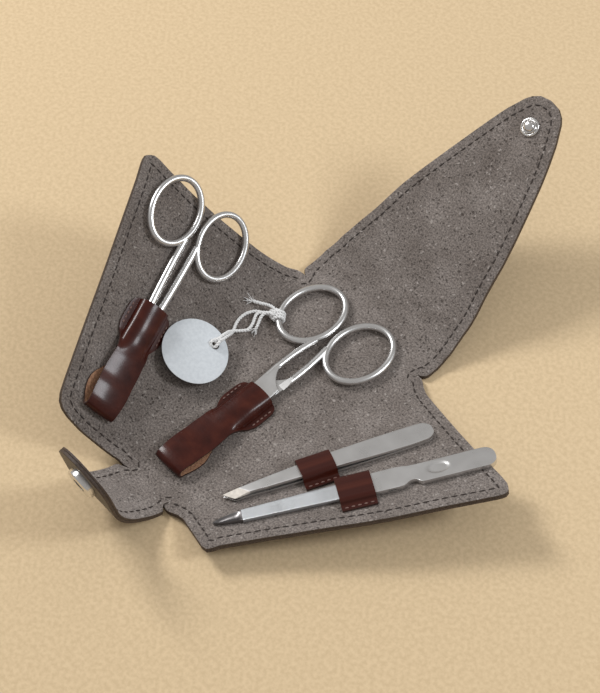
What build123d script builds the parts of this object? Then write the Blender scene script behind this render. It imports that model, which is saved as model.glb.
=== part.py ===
from build123d import *
import math
import os

os.makedirs("parts", exist_ok=True)

# Manicure set case: a suede-lined leather wallet shown unfolded, with its tools.
# Millimetres. Origin: middle of the centre panel on its underside. +Y runs from the
# snap tab to the pointed flap, +X to the wing with the file, +Z up out of the lining.

# ---------------------------------------------------------------- leather
hide_thickness = 1.1
lining_thickness = 0.8
panel_thickness = hide_thickness + lining_thickness
strap_thickness = 0.8
crease_gap = 0.1

# ---------------------------------------------------------------- folds
middle_length = 96.0
flap_shoulder = 7.5
tab_shoulder = 2.0
tab_end_notch = 13.1
flap_end_notch = 31.9
left_gap = 14.8
left_inset_low = 5.6
left_inset_high = 3.8
left_bend = 22.5
right_gap = 8.4
right_inset = 3.4
right_bend = 8.5
flap_gap = 22.5
flap_bend = 18.0
tab_gap = 17.9
tab_bend = 40.0

# ---------------------------------------------------------------- outlines
left_low_corner = (-2.4, 18.2)
left_high_corner = (81.7, 57.2)
left_high_root = 93.4
left_low_root = -1.2
right_low_corner = (2.2, 16.2)
right_high_corner = (92.4, 56.4)
right_high_root = 95.4
right_low_root = 2.6
right_edge_bulge = 1.6
wing_corner = 5.0
flap_root_half = 31.0
flap_half = 28.3
flap_mid_half = 22.6
flap_length = 73.0
flap_tip_radius = 10.0
tab_root_half = 12.0
tab_half = 11.6
tab_length = 28.6

# ---------------------------------------------------------------- scissors
blade_thickness = 1.1
blade_gap = 0.05
scissors_lift = strap_thickness + 0.1
wire_radius = 1.2
wire_height = 2.0
edge_chamfer = 0.2
ramp_inset = 0.1
nail_shank_start = 15.4
nail_shank_half = 1.25
nail_shank_bow = 3.75
nail_ramp = 5.6
cuticle_shank_start = 7.0
cuticle_shank_half = 1.4
cuticle_shank_bow = 2.2
cuticle_ramp = 2.0
pivot_radius = 1.5
screw_head_radius = 2.3
screw_head_depth = 0.5
running_gap = 0.05
pivot_from_fold = 32.2
blade_length = 30.0
nail_ring_x = 44.3
nail_ring_y = 11.6
nail_ring_long = 28.4
nail_ring_wide = 22.2
cuticle_ring_x = 42.3
cuticle_ring_y = 10.6
cuticle_ring_long = 27.0
cuticle_ring_wide = 20.2

# ---------------------------------------------------------------- sheaths
sheath_length = 41.7
sheath_fold_half = 5.6
sheath_half = 6.3
sheath_mouth_half = 5.9
sheath_height = 4.1
ear_half = 9.4
ear_start = 29.0
ear_length = 11.6
middle_sheath_x = 0.25
middle_sheath_y = -37.9
middle_sheath_angle = 91.6
left_sheath_u = 5.2
left_sheath_v = 6.8
left_sheath_angle = 14.6

# ---------------------------------------------------------------- tweezers
tweezers_length = 72.0
tweezers_u = 16.8
tweezers_v = 2.1
tweezers_angle = 12.1
arm_thickness = 1.0
arm_spread = 0.9
tip_spread = 1.0
tip_half = 1.6
rear_half = 4.3
tool_lift = 0.1

# ---------------------------------------------------------------- nail file
file_u = 9.0
file_v = 8.6
file_angle = 19.4
file_length = 91.0
file_blade_thickness = 1.2
file_handle_thickness = 1.8
file_handle_start = 49.0
file_blade_half = 3.4
file_handle_half = 4.4

# ---------------------------------------------------------------- strap loops
band_length = 11.6
band_clearance = 0.5
band_headroom = 0.6
band_flange = 2.4
tweezer_band_x = 31.5
file_band_x = 46.5

# ---------------------------------------------------------------- snap
snap_from_crease = 61.6
socket_from_crease = 16.0
cap_radius = 5.6
cap_height = 1.2
stud_base_radius = 4.6
stud_radius = 2.0
stud_height = 2.6
socket_radius = 5.5
socket_height = 2.2
rivet_radius = 1.6

# ---------------------------------------------------------------- tag
tag_radius = 11.7
tag_thickness = 0.8
tag_x = -25.2
tag_y = -4.6
tag_z = 9.7
tag_tilt = 24.0
tag_lean = -2.0
tag_hole_radius = 1.5
cord_radius = 0.6

# ---------------------------------------------------------------- fold planes
# Every leather panel is drawn on its own plane, whose surface is the suede face and
# whose X axis is the crease it turns about. Y runs outward, away from the middle.
flap_crease = middle_length / 2 + flap_shoulder
tab_crease = middle_length / 2 + tab_shoulder
notch_angle = math.degrees(math.atan2(flap_end_notch - tab_end_notch, middle_length))
notch_length = math.hypot(flap_end_notch - tab_end_notch, middle_length)
notch_cos = math.cos(math.radians(notch_angle))
notch_sin = math.sin(math.radians(notch_angle))
left_skew = math.degrees(math.atan2(left_inset_low - left_inset_high, notch_length))
left_angle = 90 + notch_angle + left_skew
left_root_x = -tab_end_notch + left_inset_low * notch_cos
left_root_y = -middle_length / 2 + left_inset_low * notch_sin
left_root = Location((left_root_x, left_root_y, panel_thickness), (0, 0, left_angle))
left_spine_plane = Plane(left_root * Rotation(left_bend, 0, 0))
left_wing_plane = Plane(left_spine_plane.location * Location((0, left_gap, 0), (left_bend, 0, 0)))

right_angle = 270 - notch_angle
right_root_x = tab_end_notch - right_inset * notch_cos
right_root_y = -middle_length / 2 + right_inset * notch_sin
right_root = Location((right_root_x, right_root_y, panel_thickness), (0, 0, right_angle))
right_spine_plane = Plane(right_root * Rotation(right_bend, 0, 0))
right_wing_plane = Plane(
    right_spine_plane.location * Location((0, right_gap, 0), (right_bend, 0, 0))
)

flap_spine_plane = Plane(Location((0, flap_crease, panel_thickness), (flap_bend, 0, 0)))
flap_plane = Plane(flap_spine_plane.location * Location((0, flap_gap, 0), (flap_bend, 0, 0)))

tab_root = Location((0, -tab_crease, panel_thickness), (0, 0, 180))
tab_riser_plane = Plane(tab_root * Rotation(tab_bend, 0, 0))
tab_plane = Plane(tab_riser_plane.location * Location((0, tab_gap, 0), (tab_bend, 0, 0)))

# ---------------------------------------------------------------- middle panel
# The panel ends on the four inner creases. Beyond the notches it widens into the
# roots of the flap and of the tab.
left_run = (middle_length / 2 - 0.2 - left_root_y) / math.cos(
    math.radians(notch_angle + left_skew)
)
left_top_x = left_root_x - left_run * math.sin(math.radians(notch_angle + left_skew))
right_top_x = flap_end_notch - right_inset / notch_cos
left_low_x = left_root_x + 0.2
right_low_x = right_root_x - 0.2
low_y = -middle_length / 2 + 0.6
middle_points = [
    (left_low_x + crease_gap, low_y),
    (-tab_root_half, -tab_crease + 0.9),
    (-tab_root_half, -tab_crease + crease_gap),
    (tab_root_half, -tab_crease + crease_gap),
    (tab_root_half, -tab_crease + 0.9),
    (right_low_x - crease_gap, low_y),
    (right_top_x - crease_gap, middle_length / 2 - 0.2),
    (flap_root_half, middle_length / 2 + 1.2),
    (flap_root_half, flap_crease - crease_gap),
    (-flap_root_half, flap_crease - crease_gap),
    (-flap_root_half, middle_length / 2 + 1.2),
    (left_top_x + crease_gap, middle_length / 2 - 0.2),
]
middle_plane = Plane.XY.offset(panel_thickness)

with BuildSketch(middle_plane) as middle_outline:
    with BuildLine():
        Polyline(*middle_points, close=True)
    make_face()

with BuildPart() as middle_lining:
    extrude(middle_outline.sketch, amount=-lining_thickness)

with BuildSketch(middle_plane.offset(-lining_thickness)) as middle_hide_outline:
    add(middle_outline.sketch_local)

with BuildPart() as middle_hide:
    extrude(middle_hide_outline.sketch, amount=-hide_thickness)

# ---------------------------------------------------------------- left spine
left_spine_points = [
    (0.9, crease_gap),
    (0.1, left_inset_low),
    (left_low_root, left_gap - crease_gap),
    (left_high_root, left_gap - crease_gap),
    (notch_length - 1.2, left_inset_high),
    (notch_length - 1.2, crease_gap),
]

with BuildSketch(left_spine_plane) as left_spine_outline:
    with BuildLine():
        Polyline(*left_spine_points, close=True)
    make_face()

with BuildPart() as left_spine_lining:
    extrude(left_spine_outline.sketch, amount=-lining_thickness)

with BuildSketch(left_spine_plane.offset(-lining_thickness)) as left_spine_hide_outline:
    add(left_spine_outline.sketch_local)

with BuildPart() as left_spine_hide:
    extrude(left_spine_hide_outline.sketch, amount=-hide_thickness)

# ---------------------------------------------------------------- left wing
left_wing_points = [
    (left_low_root, crease_gap),
    left_low_corner,
    left_high_corner,
    (left_high_root, crease_gap),
]

with BuildSketch(left_wing_plane) as left_wing_outline:
    with BuildLine():
        Polyline(*left_wing_points, close=True)
    make_face()
    fillet(left_wing_outline.vertices().sort_by(Axis.Y)[-2:], radius=wing_corner)

with BuildPart() as left_wing_lining:
    extrude(left_wing_outline.sketch, amount=-lining_thickness)

with BuildSketch(left_wing_plane.offset(-lining_thickness)) as left_wing_hide_outline:
    add(left_wing_outline.sketch_local)

with BuildPart() as left_wing_hide:
    extrude(left_wing_hide_outline.sketch, amount=-hide_thickness)

# ---------------------------------------------------------------- right spine
# The right creases run from the flap end to the tab end, so lengths along them
# carry a minus sign.
right_spine_points = [
    (-0.8, crease_gap),
    (-0.1, right_inset),
    (-right_low_root, right_gap - crease_gap),
    (-right_high_root, right_gap - crease_gap),
    (-notch_length + 1.2, right_inset),
    (-notch_length + 1.2, crease_gap),
]

with BuildSketch(right_spine_plane) as right_spine_outline:
    with BuildLine():
        Polyline(*right_spine_points, close=True)
    make_face()

with BuildPart() as right_spine_lining:
    extrude(right_spine_outline.sketch, amount=-lining_thickness)

with BuildSketch(right_spine_plane.offset(-lining_thickness)) as right_spine_hide_outline:
    add(right_spine_outline.sketch_local)

with BuildPart() as right_spine_hide:
    extrude(right_spine_hide_outline.sketch, amount=-hide_thickness)

# ---------------------------------------------------------------- right wing
right_mid_u = (right_low_corner[0] + right_high_corner[0]) / 2
right_mid_v = (right_low_corner[1] + right_high_corner[1]) / 2

with BuildSketch(right_wing_plane) as right_wing_outline:
    with BuildLine():
        Line((-right_low_root, crease_gap), (-right_low_corner[0], right_low_corner[1]))
        ThreePointArc(
            (-right_low_corner[0], right_low_corner[1]),
            (-right_mid_u + right_edge_bulge / 2, right_mid_v + right_edge_bulge),
            (-right_high_corner[0], right_high_corner[1]),
        )
        Line((-right_high_corner[0], right_high_corner[1]), (-right_high_root, crease_gap))
        Line((-right_high_root, crease_gap), (-right_low_root, crease_gap))
    make_face()
    fillet(right_wing_outline.vertices().sort_by(Axis.Y)[-1], radius=wing_corner)
    fillet(right_wing_outline.vertices().sort_by(Axis.X)[-1:], radius=wing_corner / 2)

with BuildPart() as right_wing_lining:
    extrude(right_wing_outline.sketch, amount=-lining_thickness)

with BuildSketch(right_wing_plane.offset(-lining_thickness)) as right_wing_hide_outline:
    add(right_wing_outline.sketch_local)

with BuildPart() as right_wing_hide:
    extrude(right_wing_hide_outline.sketch, amount=-hide_thickness)

# ---------------------------------------------------------------- flap
with BuildSketch(flap_spine_plane) as flap_spine_outline:
    with BuildLine():
        Polyline(
            (-flap_root_half, crease_gap),
            (flap_root_half, crease_gap),
            (flap_half, flap_gap - crease_gap),
            (-flap_half, flap_gap - crease_gap),
            close=True,
        )
    make_face()

with BuildPart() as flap_spine_lining:
    extrude(flap_spine_outline.sketch, amount=-lining_thickness)

with BuildSketch(flap_spine_plane.offset(-lining_thickness)) as flap_spine_hide_outline:
    add(flap_spine_outline.sketch_local)

with BuildPart() as flap_spine_hide:
    extrude(flap_spine_hide_outline.sketch, amount=-hide_thickness)

flap_side_x = flap_tip_radius * math.cos(math.radians(22))
flap_side_y = flap_length - flap_tip_radius + flap_tip_radius * math.sin(math.radians(22))

with BuildSketch(flap_plane) as flap_outline:
    with BuildLine():
        Line((-flap_half, crease_gap), (flap_half, crease_gap))
        ThreePointArc(
            (flap_half, crease_gap),
            (flap_mid_half, flap_length * 0.37),
            (flap_side_x, flap_side_y),
        )
        ThreePointArc((flap_side_x, flap_side_y), (0, flap_length), (-flap_side_x, flap_side_y))
        ThreePointArc(
            (-flap_side_x, flap_side_y),
            (-flap_mid_half, flap_length * 0.37),
            (-flap_half, crease_gap),
        )
    make_face()
    with Locations((0, snap_from_crease)):
        Circle(rivet_radius, mode=Mode.SUBTRACT)

with BuildPart() as flap_lining:
    extrude(flap_outline.sketch, amount=-lining_thickness)

with BuildSketch(flap_plane.offset(-lining_thickness)) as flap_hide_outline:
    add(flap_outline.sketch_local)

with BuildPart() as flap_hide:
    extrude(flap_hide_outline.sketch, amount=-hide_thickness)

# ---------------------------------------------------------------- tab
with BuildSketch(tab_riser_plane) as tab_riser_outline:
    with BuildLine():
        Polyline(
            (-tab_root_half, crease_gap),
            (tab_root_half, crease_gap),
            (tab_half, tab_gap - crease_gap),
            (-tab_half, tab_gap - crease_gap),
            close=True,
        )
    make_face()

with BuildPart() as tab_riser_lining:
    extrude(tab_riser_outline.sketch, amount=-lining_thickness)

with BuildSketch(tab_riser_plane.offset(-lining_thickness)) as tab_riser_hide_outline:
    add(tab_riser_outline.sketch_local)

with BuildPart() as tab_riser_hide:
    extrude(tab_riser_hide_outline.sketch, amount=-hide_thickness)

with BuildSketch(tab_plane) as tab_outline:
    with BuildLine():
        Line((-tab_half, crease_gap), (tab_half, crease_gap))
        Line((tab_half, crease_gap), (tab_half, tab_length - tab_half))
        ThreePointArc(
            (tab_half, tab_length - tab_half),
            (0, tab_length),
            (-tab_half, tab_length - tab_half),
        )
        Line((-tab_half, tab_length - tab_half), (-tab_half, crease_gap))
    make_face()
    with Locations((0, socket_from_crease)):
        Circle(rivet_radius, mode=Mode.SUBTRACT)

with BuildPart() as tab_lining:
    extrude(tab_outline.sketch, amount=-lining_thickness)

with BuildSketch(tab_plane.offset(-lining_thickness)) as tab_hide_outline:
    add(tab_outline.sketch_local)

with BuildPart() as tab_hide:
    extrude(tab_hide_outline.sketch, amount=-hide_thickness)

# ---------------------------------------------------------------- snap fastener
# Each half is two metal pieces clenched through the leather: a pressed cap outside
# with a hollow post, and the stud or socket on the other face.
stud_plane = Plane(flap_plane.location * Location((0, snap_from_crease, 0)))
socket_plane = Plane(tab_plane.location * Location((0, socket_from_crease, 0)))

with BuildPart() as snap_stud:
    with BuildSketch(stud_plane):
        Circle(stud_base_radius)
        Circle(rivet_radius, mode=Mode.SUBTRACT)
    extrude(amount=0.6)
    with BuildSketch(stud_plane.offset(0.6)):
        Circle(stud_radius)
    extrude(amount=stud_height - 0.6)
    with BuildSketch(stud_plane.offset(stud_height - 1.0)):
        Circle(stud_radius + 0.25)
    extrude(amount=0.6)
    fillet(snap_stud.edges().group_by(Axis(stud_plane.origin, stud_plane.z_dir))[-1], 0.25)

with BuildPart() as flap_snap_cap:
    with BuildSketch(stud_plane.offset(-panel_thickness)):
        Circle(cap_radius)
    extrude(amount=-cap_height)
    fillet(flap_snap_cap.edges().group_by(Axis(stud_plane.origin, stud_plane.z_dir))[0], 0.9)
    with BuildSketch(stud_plane.offset(-panel_thickness)):
        Circle(rivet_radius)
    extrude(amount=panel_thickness + 0.5)

with BuildPart() as snap_socket:
    with BuildSketch(socket_plane.offset(-panel_thickness)):
        Circle(socket_radius)
    extrude(amount=-socket_height)
    fillet(snap_socket.edges().group_by(Axis(socket_plane.origin, socket_plane.z_dir))[0], 0.7)
    with BuildSketch(socket_plane.offset(-panel_thickness - socket_height)):
        Circle(stud_radius + 0.45)
    extrude(amount=socket_height - 0.4, mode=Mode.SUBTRACT)
    with BuildSketch(socket_plane.offset(-panel_thickness - 0.4)):
        Circle(rivet_radius)
    extrude(amount=0.4, mode=Mode.SUBTRACT)

with BuildPart() as tab_snap_cap:
    with BuildSketch(socket_plane):
        Circle(stud_base_radius)
    extrude(amount=0.7)
    fillet(tab_snap_cap.edges().group_by(Axis(socket_plane.origin, socket_plane.z_dir))[-1], 0.4)
    with BuildSketch(socket_plane):
        Circle(rivet_radius)
    extrude(amount=-panel_thickness - 0.4)

# ---------------------------------------------------------------- sheaths
# One strap of smooth leather, folded under at the closed end: the under layer lies on
# the lining, the upper layer arches over the blades, and two ears beside the mouth
# are stitched down. Both sheaths are cut alike.
middle_sheath_plane = Plane(
    Location((middle_sheath_x, middle_sheath_y, panel_thickness), (0, 0, middle_sheath_angle))
)
left_sheath_plane = Plane(
    left_wing_plane.location
    * Location((left_sheath_u, left_sheath_v, 0), (0, 0, left_sheath_angle))
)
ear_end = ear_start + ear_length
fold_radius = sheath_height / 2

with BuildPart() as middle_sheath:
    with BuildSketch(middle_sheath_plane) as sheath_under:
        with BuildLine():
            Polyline(
                (fold_radius, -sheath_fold_half),
                (ear_start - 2, -sheath_half),
                (ear_start, -ear_half),
                (ear_end, -ear_half),
                (sheath_length, -sheath_mouth_half),
                (sheath_length, sheath_mouth_half),
                (ear_end, ear_half),
                (ear_start, ear_half),
                (ear_start - 2, sheath_half),
                (fold_radius, sheath_fold_half),
                close=True,
            )
        make_face()
    extrude(amount=strap_thickness)
    with BuildSketch(middle_sheath_plane.offset(sheath_height - strap_thickness)) as sheath_over:
        with BuildLine():
            Polyline(
                (fold_radius, -sheath_fold_half),
                (ear_start - 2, -sheath_half),
                (sheath_length, -sheath_mouth_half),
                (sheath_length, sheath_mouth_half),
                (ear_start - 2, sheath_half),
                (fold_radius, sheath_fold_half),
                close=True,
            )
        make_face()
    extrude(amount=strap_thickness)
    with BuildSketch(middle_sheath_plane.offset(strap_thickness)) as sheath_walls:
        with Locations((ear_start + ear_length / 2, 0)):
            Rectangle(ear_length, 2 * sheath_mouth_half)
            Rectangle(
                ear_length, 2 * (sheath_mouth_half - strap_thickness), mode=Mode.SUBTRACT
            )
    extrude(amount=sheath_height - 2 * strap_thickness)
    with BuildSketch(Plane(
        origin=middle_sheath_plane.from_local_coords((0, sheath_fold_half, 0)),
        x_dir=middle_sheath_plane.x_dir,
        z_dir=-middle_sheath_plane.y_dir,
    )) as sheath_fold:
        with BuildLine():
            Line((fold_radius, 0), (fold_radius, strap_thickness))
            ThreePointArc(
                (fold_radius, strap_thickness),
                (strap_thickness, fold_radius),
                (fold_radius, sheath_height - strap_thickness),
            )
            Line((fold_radius, sheath_height - strap_thickness), (fold_radius, sheath_height))
            ThreePointArc((fold_radius, sheath_height), (0, fold_radius), (fold_radius, 0))
        make_face()
    extrude(amount=2 * sheath_fold_half)

sheath_move = left_sheath_plane.location * middle_sheath_plane.location.inverse()

with BuildPart() as left_sheath:
    add(middle_sheath.part.moved(sheath_move))

# ---------------------------------------------------------------- scissors
# A pair is two halves that cross at the screw. One half has its blade below and its
# ring on one side, the other the reverse. The shanks are round wire that runs on
# into the finger rings.
nail_plane = Plane(middle_sheath_plane.location * Location((pivot_from_fold, 0, 0)))
cuticle_plane = Plane(left_sheath_plane.location * Location((pivot_from_fold, 0, 0)))
upper_lift = scissors_lift + blade_thickness + blade_gap
nail_ring_rx = nail_ring_long / 2 - wire_radius
nail_ring_ry = nail_ring_wide / 2 - wire_radius
cuticle_ring_rx = cuticle_ring_long / 2 - wire_radius
cuticle_ring_ry = cuticle_ring_wide / 2 - wire_radius
nail_inner_edge = [
    (-blade_length, -0.3),
    (-blade_length + 2, -1.2),
    (-10, -3.3),
    (0, -4.2),
    (10, -4.2),
    (13.7, -3.9),
]
nail_cut = (16.7, 0.35)
nail_outer_edge = [
    (21.0, 2.9),
    (21.0, 4.6),
    (10, 4.0),
    (4, 4.3),
    (-3, 1.6),
    (-blade_length + 3, 0.5),
]
cuticle_inner_edge = [
    (-blade_length, -0.2),
    (-blade_length + 2, -0.9),
    (-10, -2.4),
    (-2, -3.6),
    (2, -3.4),
]
cuticle_cut = (4.3, -0.6)
cuticle_outer_edge = [
    (8.4, 1.7),
    (8.4, 3.9),
    (3, 3.7),
    (-3, 1.2),
    (-blade_length + 3, 0.4),
]


def scissor_half(plane, side, inner_edge, cut, outer_edge, shank, ring):
    """One forging: blade, flat ricasso with its round cut, shank and finger ring.

    side is 1 for the half that lies above, whose ring is on the +Y side, and -1 for
    the half below it. The shank thins to the ricasso by a ramp on the face that the
    other half slides on.
    """
    start, half_width, bow, ramp = shank
    ring_x, ring_y, ring_rx, ring_ry = ring
    lift = upper_lift if side > 0 else scissors_lift
    far_face = lift + blade_thickness
    hole_radius = pivot_radius + running_gap if side > 0 else pivot_radius
    with BuildPart() as half:
        with BuildSketch(plane.offset(lift)):
            with BuildLine():
                Polyline(*[(x, side * y) for x, y in inner_edge])
                ThreePointArc(
                    (inner_edge[-1][0], side * inner_edge[-1][1]),
                    (cut[0], side * cut[1]),
                    (outer_edge[0][0], side * outer_edge[0][1]),
                )
                Polyline(*[(x, side * y) for x, y in outer_edge + inner_edge[:1]])
            make_face()
            Circle(hole_radius, mode=Mode.SUBTRACT)
        extrude(amount=blade_thickness)
        if side > 0:
            top_face = half.faces().sort_by(Axis(plane.origin, plane.z_dir))[-1]
            chamfer(top_face.outer_wire().edges(), edge_chamfer)
            with BuildSketch(plane.offset(far_face - screw_head_depth)):
                Circle(screw_head_radius + running_gap)
            extrude(amount=screw_head_depth, mode=Mode.SUBTRACT)
        with BuildLine(plane.offset(wire_height)) as shank_line:
            ThreePointArc(
                (start, side * (bow - 0.4)),
                (start + 7.4, side * bow),
                (ring_x - ring_rx * 0.52, side * (ring_y - ring_ry + 0.85)),
            )
        with BuildSketch(
            Plane(
                origin=shank_line.line @ 0,
                x_dir=plane.y_dir,
                z_dir=shank_line.line % 0,
            )
        ):
            Ellipse(half_width, wire_radius)
        sweep(path=shank_line.line)
        shown = 1 if side < 0 else -1
        ramp_foot = far_face if side < 0 else lift
        ramp_top = wire_height + shown * (wire_radius + ramp_inset)
        with BuildSketch(
            Plane(
                origin=plane.from_local_coords((0, ear_half, 0)),
                x_dir=plane.x_dir,
                z_dir=-plane.y_dir,
            )
        ):
            with BuildLine():
                Polyline(
                    (start - 1, ramp_foot),
                    (start, ramp_foot),
                    (start + ramp, ramp_top),
                    (start - 1, ramp_top),
                    close=True,
                )
            make_face()
        extrude(amount=2 * ear_half, mode=Mode.SUBTRACT)
        with BuildLine(plane.offset(wire_height)) as ring_line:
            EllipticalCenterArc(
                (ring_x, side * ring_y), ring_rx, ring_ry, start_angle=0, arc_size=360
            )
        with BuildSketch(Plane(origin=ring_line.line @ 0, z_dir=ring_line.line % 0)):
            Circle(wire_radius)
        sweep(path=ring_line.line)
    return half


def scissor_screw(plane):
    """The screw is tight in the lower half; the upper half turns under its slotted head."""
    with BuildPart() as screw:
        with BuildSketch(plane.offset(scissors_lift)):
            Circle(pivot_radius)
        extrude(amount=2 * blade_thickness + blade_gap - screw_head_depth + running_gap)
        with BuildSketch(
            plane.offset(upper_lift + blade_thickness - screw_head_depth + running_gap)
        ):
            Circle(screw_head_radius)
        extrude(amount=screw_head_depth - running_gap)
        with BuildSketch(plane.offset(upper_lift + blade_thickness)):
            Rectangle(2 * screw_head_radius + 1, 0.7)
        extrude(amount=-0.3, mode=Mode.SUBTRACT)
    return screw


nail_shank = (nail_shank_start, nail_shank_half, nail_shank_bow, nail_ramp)
nail_ring = (nail_ring_x, nail_ring_y, nail_ring_rx, nail_ring_ry)
nail_outline = (nail_inner_edge, nail_cut, nail_outer_edge)
nail_scissors_upper = scissor_half(nail_plane, 1, *nail_outline, nail_shank, nail_ring)
nail_scissors_lower = scissor_half(nail_plane, -1, *nail_outline, nail_shank, nail_ring)
nail_scissors_screw = scissor_screw(nail_plane)

cuticle_shank = (cuticle_shank_start, cuticle_shank_half, cuticle_shank_bow, cuticle_ramp)
cuticle_ring = (cuticle_ring_x, cuticle_ring_y, cuticle_ring_rx, cuticle_ring_ry)
cuticle_outline = (cuticle_inner_edge, cuticle_cut, cuticle_outer_edge)
cuticle_scissors_upper = scissor_half(
    cuticle_plane, 1, *cuticle_outline, cuticle_shank, cuticle_ring
)
cuticle_scissors_lower = scissor_half(
    cuticle_plane, -1, *cuticle_outline, cuticle_shank, cuticle_ring
)
cuticle_scissors_screw = scissor_screw(cuticle_plane)

# ---------------------------------------------------------------- tweezers
# Two bowed steel arms, welded at the rear and sprung apart at the slanted tips.
# X runs from the tips to the rear along the wing.
tweezers_plane = Plane(
    right_wing_plane.location
    * Location((-tweezers_u, tweezers_v, 0), (0, 0, 180 - tweezers_angle))
)
arm_side = Plane(
    origin=tweezers_plane.from_local_coords((0, rear_half + 1, 0)),
    x_dir=tweezers_plane.x_dir,
    z_dir=-tweezers_plane.y_dir,
)
arm_bow_x = 30.0
arm_weld_x = 64.0
arm_points = [
    (0.0, tip_half * 0.2),
    (1.0, tip_half),
    (8.0, tip_half + 0.2),
    (arm_bow_x + 10, 3.6),
    (arm_weld_x, rear_half),
    (tweezers_length, rear_half - 0.6),
    (tweezers_length, -rear_half + 0.6),
    (arm_weld_x, -rear_half),
    (arm_bow_x + 10, -3.6),
    (8.0, -tip_half - 0.2),
    (3.0, -tip_half),
]
lower_top = tool_lift + arm_thickness
upper_rear = lower_top + running_gap

with BuildPart() as tweezers_lower_arm:
    with BuildSketch(tweezers_plane.offset(tool_lift)):
        with BuildLine():
            Polyline(*arm_points, close=True)
        make_face()
    extrude(amount=arm_thickness)

with BuildPart() as tweezers_upper_arm:
    with BuildSketch(tweezers_plane.offset(tool_lift)):
        with BuildLine():
            Polyline(*arm_points, close=True)
        make_face()
    extrude(amount=4 * arm_thickness)
    with BuildSketch(arm_side):
        with BuildLine():
            Line((-1, lower_top + tip_spread), (arm_bow_x - 12, lower_top + arm_spread))
            Line((arm_bow_x - 12, lower_top + arm_spread), (arm_bow_x + 8, lower_top + arm_spread))
            Line((arm_bow_x + 8, lower_top + arm_spread), (arm_weld_x, upper_rear))
            Line((arm_weld_x, upper_rear), (tweezers_length + 1, upper_rear))
            Line(
                (tweezers_length + 1, upper_rear),
                (tweezers_length + 1, upper_rear + arm_thickness),
            )
            Line(
                (tweezers_length + 1, upper_rear + arm_thickness),
                (arm_weld_x, upper_rear + arm_thickness),
            )
            Line(
                (arm_weld_x, upper_rear + arm_thickness),
                (arm_bow_x + 8, lower_top + arm_spread + arm_thickness),
            )
            Line(
                (arm_bow_x + 8, lower_top + arm_spread + arm_thickness),
                (arm_bow_x - 12, lower_top + arm_spread + arm_thickness),
            )
            Line(
                (arm_bow_x - 12, lower_top + arm_spread + arm_thickness),
                (-1, lower_top + tip_spread + arm_thickness),
            )
            Line(
                (-1, lower_top + tip_spread + arm_thickness),
                (-1, lower_top + tip_spread),
            )
        make_face()
    extrude(amount=2 * rear_half + 2, mode=Mode.INTERSECT)

# ---------------------------------------------------------------- nail file
# A rough steel blade with a pointed cleaner, held in a polished handle.
file_plane = Plane(
    right_wing_plane.location * Location((-file_u, file_v, 0), (0, 0, 180 - file_angle))
)
file_slot_end = file_handle_start + 7.0
waist_x = file_handle_start + 15.0

with BuildPart() as file_blade:
    with BuildSketch(file_plane.offset(tool_lift + 0.3)):
        with BuildLine():
            Polyline(
                (0, 0),
                (1.5, -0.9),
                (8, -1.9),
                (9.5, -2.5),
                (file_handle_start - 4, -file_blade_half),
                (file_slot_end, -file_blade_half + 1),
                (file_slot_end, file_blade_half - 1),
                (file_handle_start - 4, file_blade_half),
                (9.5, 2.5),
                (8, 1.9),
                (1.5, 0.9),
                close=True,
            )
        make_face()
    extrude(amount=file_blade_thickness)

with BuildPart() as file_handle:
    with BuildSketch(file_plane.offset(tool_lift)):
        with BuildLine():
            Line((file_handle_start, -file_handle_half + 0.6), (waist_x - 4, -file_handle_half))
            ThreePointArc(
                (waist_x - 4, -file_handle_half),
                (waist_x, -file_handle_half + 1.0),
                (waist_x + 4, -file_handle_half),
            )
            Line((waist_x + 4, -file_handle_half), (file_length - 5, -file_handle_half))
            ThreePointArc(
                (file_length - 5, -file_handle_half),
                (file_length, 0),
                (file_length - 5, file_handle_half),
            )
            Line((file_length - 5, file_handle_half), (waist_x + 4, file_handle_half))
            ThreePointArc(
                (waist_x + 4, file_handle_half),
                (waist_x, file_handle_half - 1.0),
                (waist_x - 4, file_handle_half),
            )
            Line((waist_x - 4, file_handle_half), (file_handle_start, file_handle_half - 0.6))
            Line(
                (file_handle_start, file_handle_half - 0.6),
                (file_handle_start, -file_handle_half + 0.6),
            )
        make_face()
    extrude(amount=file_handle_thickness)
    with BuildSketch(file_plane.offset(tool_lift + file_handle_thickness)):
        with Locations((file_length - 17, 0)):
            Ellipse(8.0, 3.0)
    extrude(amount=-0.35, mode=Mode.SUBTRACT)
    with BuildSketch(file_plane.offset(tool_lift + 0.3)):
        with BuildLine():
            Polyline(
                (file_handle_start - 5, -file_blade_half),
                (file_handle_start - 4, -file_blade_half),
                (file_slot_end, -file_blade_half + 1),
                (file_slot_end, file_blade_half - 1),
                (file_handle_start - 4, file_blade_half),
                (file_handle_start - 5, file_blade_half),
                close=True,
            )
        make_face()
    extrude(amount=file_blade_thickness, mode=Mode.SUBTRACT)

# ---------------------------------------------------------------- strap loops
# Short straps of the sheath leather arch over the tweezers and the file; the flange
# on the outer side is stitched down to the lining.
tweezer_band_half = 3.5 + band_clearance
tweezer_band_top = lower_top + arm_spread + arm_thickness + band_headroom
file_band_half = file_handle_half + band_clearance
file_band_top = tool_lift + file_handle_thickness + band_headroom

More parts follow.
